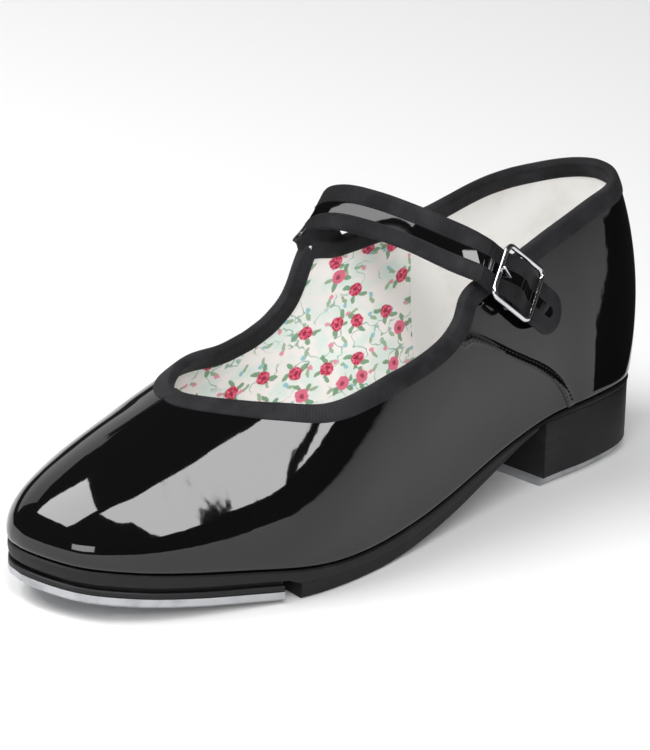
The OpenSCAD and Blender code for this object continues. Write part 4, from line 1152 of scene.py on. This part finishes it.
class Stitches:
    """Rows of stitches laid by geometry nodes along lines on the leather."""

    def __init__(self, pitch: float = 1.9, length: float = 1.45, thickness: float = 0.42) -> None:
        """Sets the stitch's sizes in millimetres and builds the node tree."""
        self.pitch, self.length, self.thickness = pitch, length, thickness
        self.tree = self.build_tree()

    def build_tree(self) -> bpy.types.NodeTree:
        """Resamples each line and puts one rounded stitch on each point."""
        tree = bpy.data.node_groups.new("stitch rows", "GeometryNodeTree")
        face = tree.interface
        face.new_socket("Geometry", in_out="INPUT", socket_type="NodeSocketGeometry")
        for name in ("Pitch", "Length", "Thickness"):
            face.new_socket(name, in_out="INPUT", socket_type="NodeSocketFloat")
        face.new_socket("Thread", in_out="INPUT", socket_type="NodeSocketMaterial")
        face.new_socket("Geometry", in_out="OUTPUT", socket_type="NodeSocketGeometry")

        def add(kind: str, inputs: Optional[dict] = None, **settings: object) -> bpy.types.Node:
            """Adds a node to this tree."""
            return add_node(tree, kind, inputs, **settings)

        given = add("NodeGroupInput").outputs
        lines = add("GeometryNodeMeshToCurve", {"Mesh": given["Geometry"]})
        spaced = add("GeometryNodeResampleCurve", {"Curve": lines.outputs[0], "Length": given["Pitch"]},
                     mode="LENGTH")
        upright = add("GeometryNodeInputNamedAttribute", {"Name": "upright"}, data_type="FLOAT_VECTOR")
        tangent = add("GeometryNodeInputTangent")
        turn = add("FunctionNodeAxesToRotation", {0: tangent.outputs[0], 1: upright.outputs[0]},
                   primary_axis="X", secondary_axis="Z")
        size = add("ShaderNodeCombineXYZ",
                   {0: given["Length"], 1: given["Thickness"], 2: given["Thickness"]})
        bead = add("GeometryNodeMeshUVSphere", {"Segments": 8, "Rings": 5, "Radius": 0.5})
        placed = add("GeometryNodeInstanceOnPoints", {
            "Points": spaced.outputs[0], "Instance": bead.outputs[0],
            "Rotation": turn.outputs[0], "Scale": size.outputs[0]})
        real = add("GeometryNodeRealizeInstances", {0: placed.outputs[0]})
        smooth = add("GeometryNodeSetShadeSmooth", {0: real.outputs[0]})
        done = add("GeometryNodeSetMaterial", {"Geometry": smooth.outputs[0], "Material": given["Thread"]})
        add("NodeGroupOutput", {0: done.outputs[0]})
        return tree

    def sew(self, name: str, lines: Iterable[tuple[np.ndarray, np.ndarray]], thread: bpy.types.Material,
            body: str) -> bpy.types.Object:
        """Sews one piece.

        Args:
            name: The object's name.
            lines: Points and upright directions of each row, in the part's frame.
            thread: Material of the thread.
            body: The body that the stitches ride on.

        Returns:
            The plain mesh of the stitches.
        """
        points, normals, edges, count = [], [], [], 0
        for line, upright in lines:
            points.append(line)
            normals.append(upright)
            edges += [(count + i, count + i + 1) for i in range(len(line) - 1)]
            count += len(line)
        mesh = bpy.data.meshes.new(name + "_line")
        mesh.from_pydata(np.concatenate(points).tolist(), edges, [])
        mesh.attributes.new("upright", "FLOAT_VECTOR", "POINT").data.foreach_set(
            "vector", np.concatenate(normals).ravel())
        guide = bpy.data.objects.new(name + "_line", mesh)
        bpy.context.scene.collection.objects.link(guide)
        modifier = guide.modifiers.new("stitches", "NODES")
        modifier.node_group = self.tree
        values = {"Pitch": self.pitch * MM, "Length": self.length * MM, "Thickness": self.thickness * MM,
                  "Thread": thread}
        for item in self.tree.interface.items_tree:
            if item.in_out == "INPUT" and item.name in values:
                modifier[item.identifier] = values[item.name]
        evaluated = guide.evaluated_get(bpy.context.evaluated_depsgraph_get())
        plain = bpy.data.meshes.new_from_object(evaluated)
        plain.name = name
        bpy.data.objects.remove(guide)
        obj = bpy.data.objects.new(name, plain)
        bpy.context.scene.collection.objects.link(obj)
        return dress(obj, thread, body)


@dataclass
class Sewing:
    """Where the shoe is stitched."""

    seam_rows: tuple[float, float] = (1.2, 2.9)

    def build(self, finishes: Finishes, upper: Upper, strap: Strap) -> None:
        """Sews the side seams and the strap."""
        stitches = Stitches()
        rows = [upper.seam_line(side, back, upper.lap * 0.8) for side in Side for back in self.seam_rows]
        stitches.sew("side_seam_stitches", rows, finishes.thread, "shoe")
        fine = Stitches(pitch=1.5, length=1.15, thickness=0.3)
        x = np.linspace(strap.start + 1, -strap.pitch - 2, 220)
        lines = []
        for sign in (1.0, -1.0):
            y = sign * (strap.edge(x, sign) - strap.half + strap.inner + 0.7)
            lines.append((LAST.place(strap.at(x, y, np.full_like(x, 0.5))), mirrored(strap.axes(x)[2])))
        fine.sew("strap_stitches", lines, finishes.thread, "shoe")


# ---------------------------------------------------------------------------------------------- the rest


class Hardware:
    """The CAD nodes that stay as they are, in better finishes."""

    def build(self, finishes: Finishes) -> None:
        """Gives each kept node its finish."""
        kept = {
            "buckle_frame": finishes.nickel, "buckle_prong": finishes.nickel, "toe_tap": finishes.tap,
            "heel_tap": finishes.tap, "toe_tap_screws": finishes.steel, "heel_tap_screws": finishes.steel,
            "heel_nails": finishes.steel, "shank": finishes.steel, "chape_elastic": finishes.backing,
            "insole_board": finishes.fibre, "toe_puff": finishes.fibre, "heel_counter": finishes.fibre,
            "bottom_filler": finishes.cork, "sock_lining": finishes.plain,
        }
        for name, finish in kept.items():
            node = frame["nodes"][name]
            node.data.materials.clear()
            node.data.materials.append(finish)
            LOG.info("%s keeps its CAD shape", name)


@dataclass
class Studio:
    """Pale floor, soft lights and the camera."""

    azimuth: float = -37.8
    elevation: float = 23.8
    distance: float = 1.5
    lens: float = 221.9
    target: tuple[float, float, float] = (-0.00312, 0.00126, 0.040)
    slide: float = -0.0022
    lift: float = 0.0099
    fill: float = 0.35
    dark: float = 0.04
    floor_reach: float = 30.0
    card_reach: tuple[float, float] = (0.13, 0.9)
    card_depth: tuple[float, float] = (0.045, 0.6)

    def light(self, name: str, place: Sequence[float], size: tuple[float, float], power: float,
              aim: Sequence[float] = (0.0, 0.0, 0.04), turn: float = 0.0) -> None:
        """A soft rectangular light that faces the shoe."""
        data = bpy.data.lights.new(name, "AREA")
        data.shape, data.size, data.size_y, data.energy = "RECTANGLE", size[0], size[1], power
        lamp = bpy.data.objects.new(name, data)
        lamp.location = place
        facing = (Vector(aim) - Vector(place)).to_track_quat("-Z", "Y").to_matrix()
        lamp.rotation_euler = (Matrix.Rotation(math.radians(turn), 3, "Z") @ facing).to_euler()
        bpy.context.scene.collection.objects.link(lamp)

    def card(self, right: Vector, away: Vector) -> None:
        """A black card beside the heel, seen only in the patent leather."""
        above = Vector((0, 0, 0.0005))
        corners = [[right * r + away * d + above for d in self.card_depth] for r in self.card_reach]
        flag = MeshBuilder("black_card")
        flag.quads(flag.add(np.array(corners, float)))
        card = flag.make()
        card.data.materials.append(Shader("black card").finish(base_color=linear("#030303"), roughness=0.9))
        card.visible_camera = card.visible_diffuse = card.visible_shadow = False

    def build(self) -> None:
        """Sets the floor, the world, the lights and the camera."""
        floor = MeshBuilder("floor")
        reach = self.floor_reach
        corners = [[(x, y, 0) for y in (-reach, reach)] for x in (-reach, reach)]
        floor.quads(floor.add(np.array(corners, float)))
        plane = floor.make()
        s = Shader("white paper")
        plane.data.materials.append(s.finish(base_color=linear("#dedede"), roughness=0.9))
        plane.location.z = -0.0002
        world = bpy.data.worlds.new("studio")
        bpy.context.scene.world = world
        world.use_nodes = True
        tree = world.node_tree
        background = tree.nodes["Background"]
        background.inputs["Color"].default_value = linear("#ffffff")
        path = tree.nodes.new("ShaderNodeLightPath")
        strength = tree.nodes.new("ShaderNodeMapRange")
        strength.inputs[3].default_value = self.fill
        strength.inputs[4].default_value = self.dark
        seen = tree.nodes.new("ShaderNodeMath")
        seen.operation = "MAXIMUM"
        tree.links.new(path.outputs["Is Glossy Ray"], strength.inputs[0])
        tree.links.new(strength.outputs[0], seen.inputs[0])
        tree.links.new(path.outputs["Is Camera Ray"], seen.inputs[1])
        tree.links.new(seen.outputs[0], background.inputs["Strength"])
        self.light("overhead strip", (-0.5, -1.5, 1.2), (0.38, 2.5), 30, (-0.5, -1.5, 0), -5)
        self.light("throat box", (0.05, -1.95, 1.2), (0.35, 0.8), 9, (0.05, -1.95, 0))
        self.light("toe box", (-0.85, 0.42, 1.2), (0.9, 0.85), 24, (-0.85, 0.42, 0), -18)
        self.light("low panel", (-2.3, -1.1, 0.55), (1.3, 0.55), 12)
        self.light("back panel", (0.3, 2.4, 1.3), (3.0, 1.6), 14)
        a, e = math.radians(self.azimuth), math.radians(self.elevation)
        back = Vector((math.sin(a) * math.cos(e), -math.cos(a) * math.cos(e), math.sin(e)))
        right = Vector((math.cos(a), math.sin(a), 0))
        up = back.cross(right)
        data = bpy.data.cameras.new("camera")
        data.lens = self.lens
        data.sensor_width = 36
        camera = bpy.data.objects.new("camera", data)
        aim = Vector(self.target) + right * self.slide + up * self.lift
        camera.location = aim + back * self.distance
        camera.rotation_euler = Matrix((right, up, back)).transposed().to_euler()
        bpy.context.scene.collection.objects.link(camera)
        bpy.context.scene.camera = camera
        self.card(right, Vector((-back.x, -back.y, 0)).normalized())
        bpy.context.scene.view_settings.view_transform = "Standard"


def main() -> None:
    """Builds the shoe's classes in order."""
    logging.basicConfig(level=logging.INFO, format="%(message)s")
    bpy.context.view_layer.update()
    finishes = Finishes()
    upper, strap = Upper(), Strap()
    upper.build(finishes)
    Binding().build(finishes)
    strap.build(finishes)
    Bottom().build(finishes)
    Sewing().build(finishes, upper, strap)
    Hardware().build(finishes)
    Studio().build()


if __name__ == "__main__":
    main()
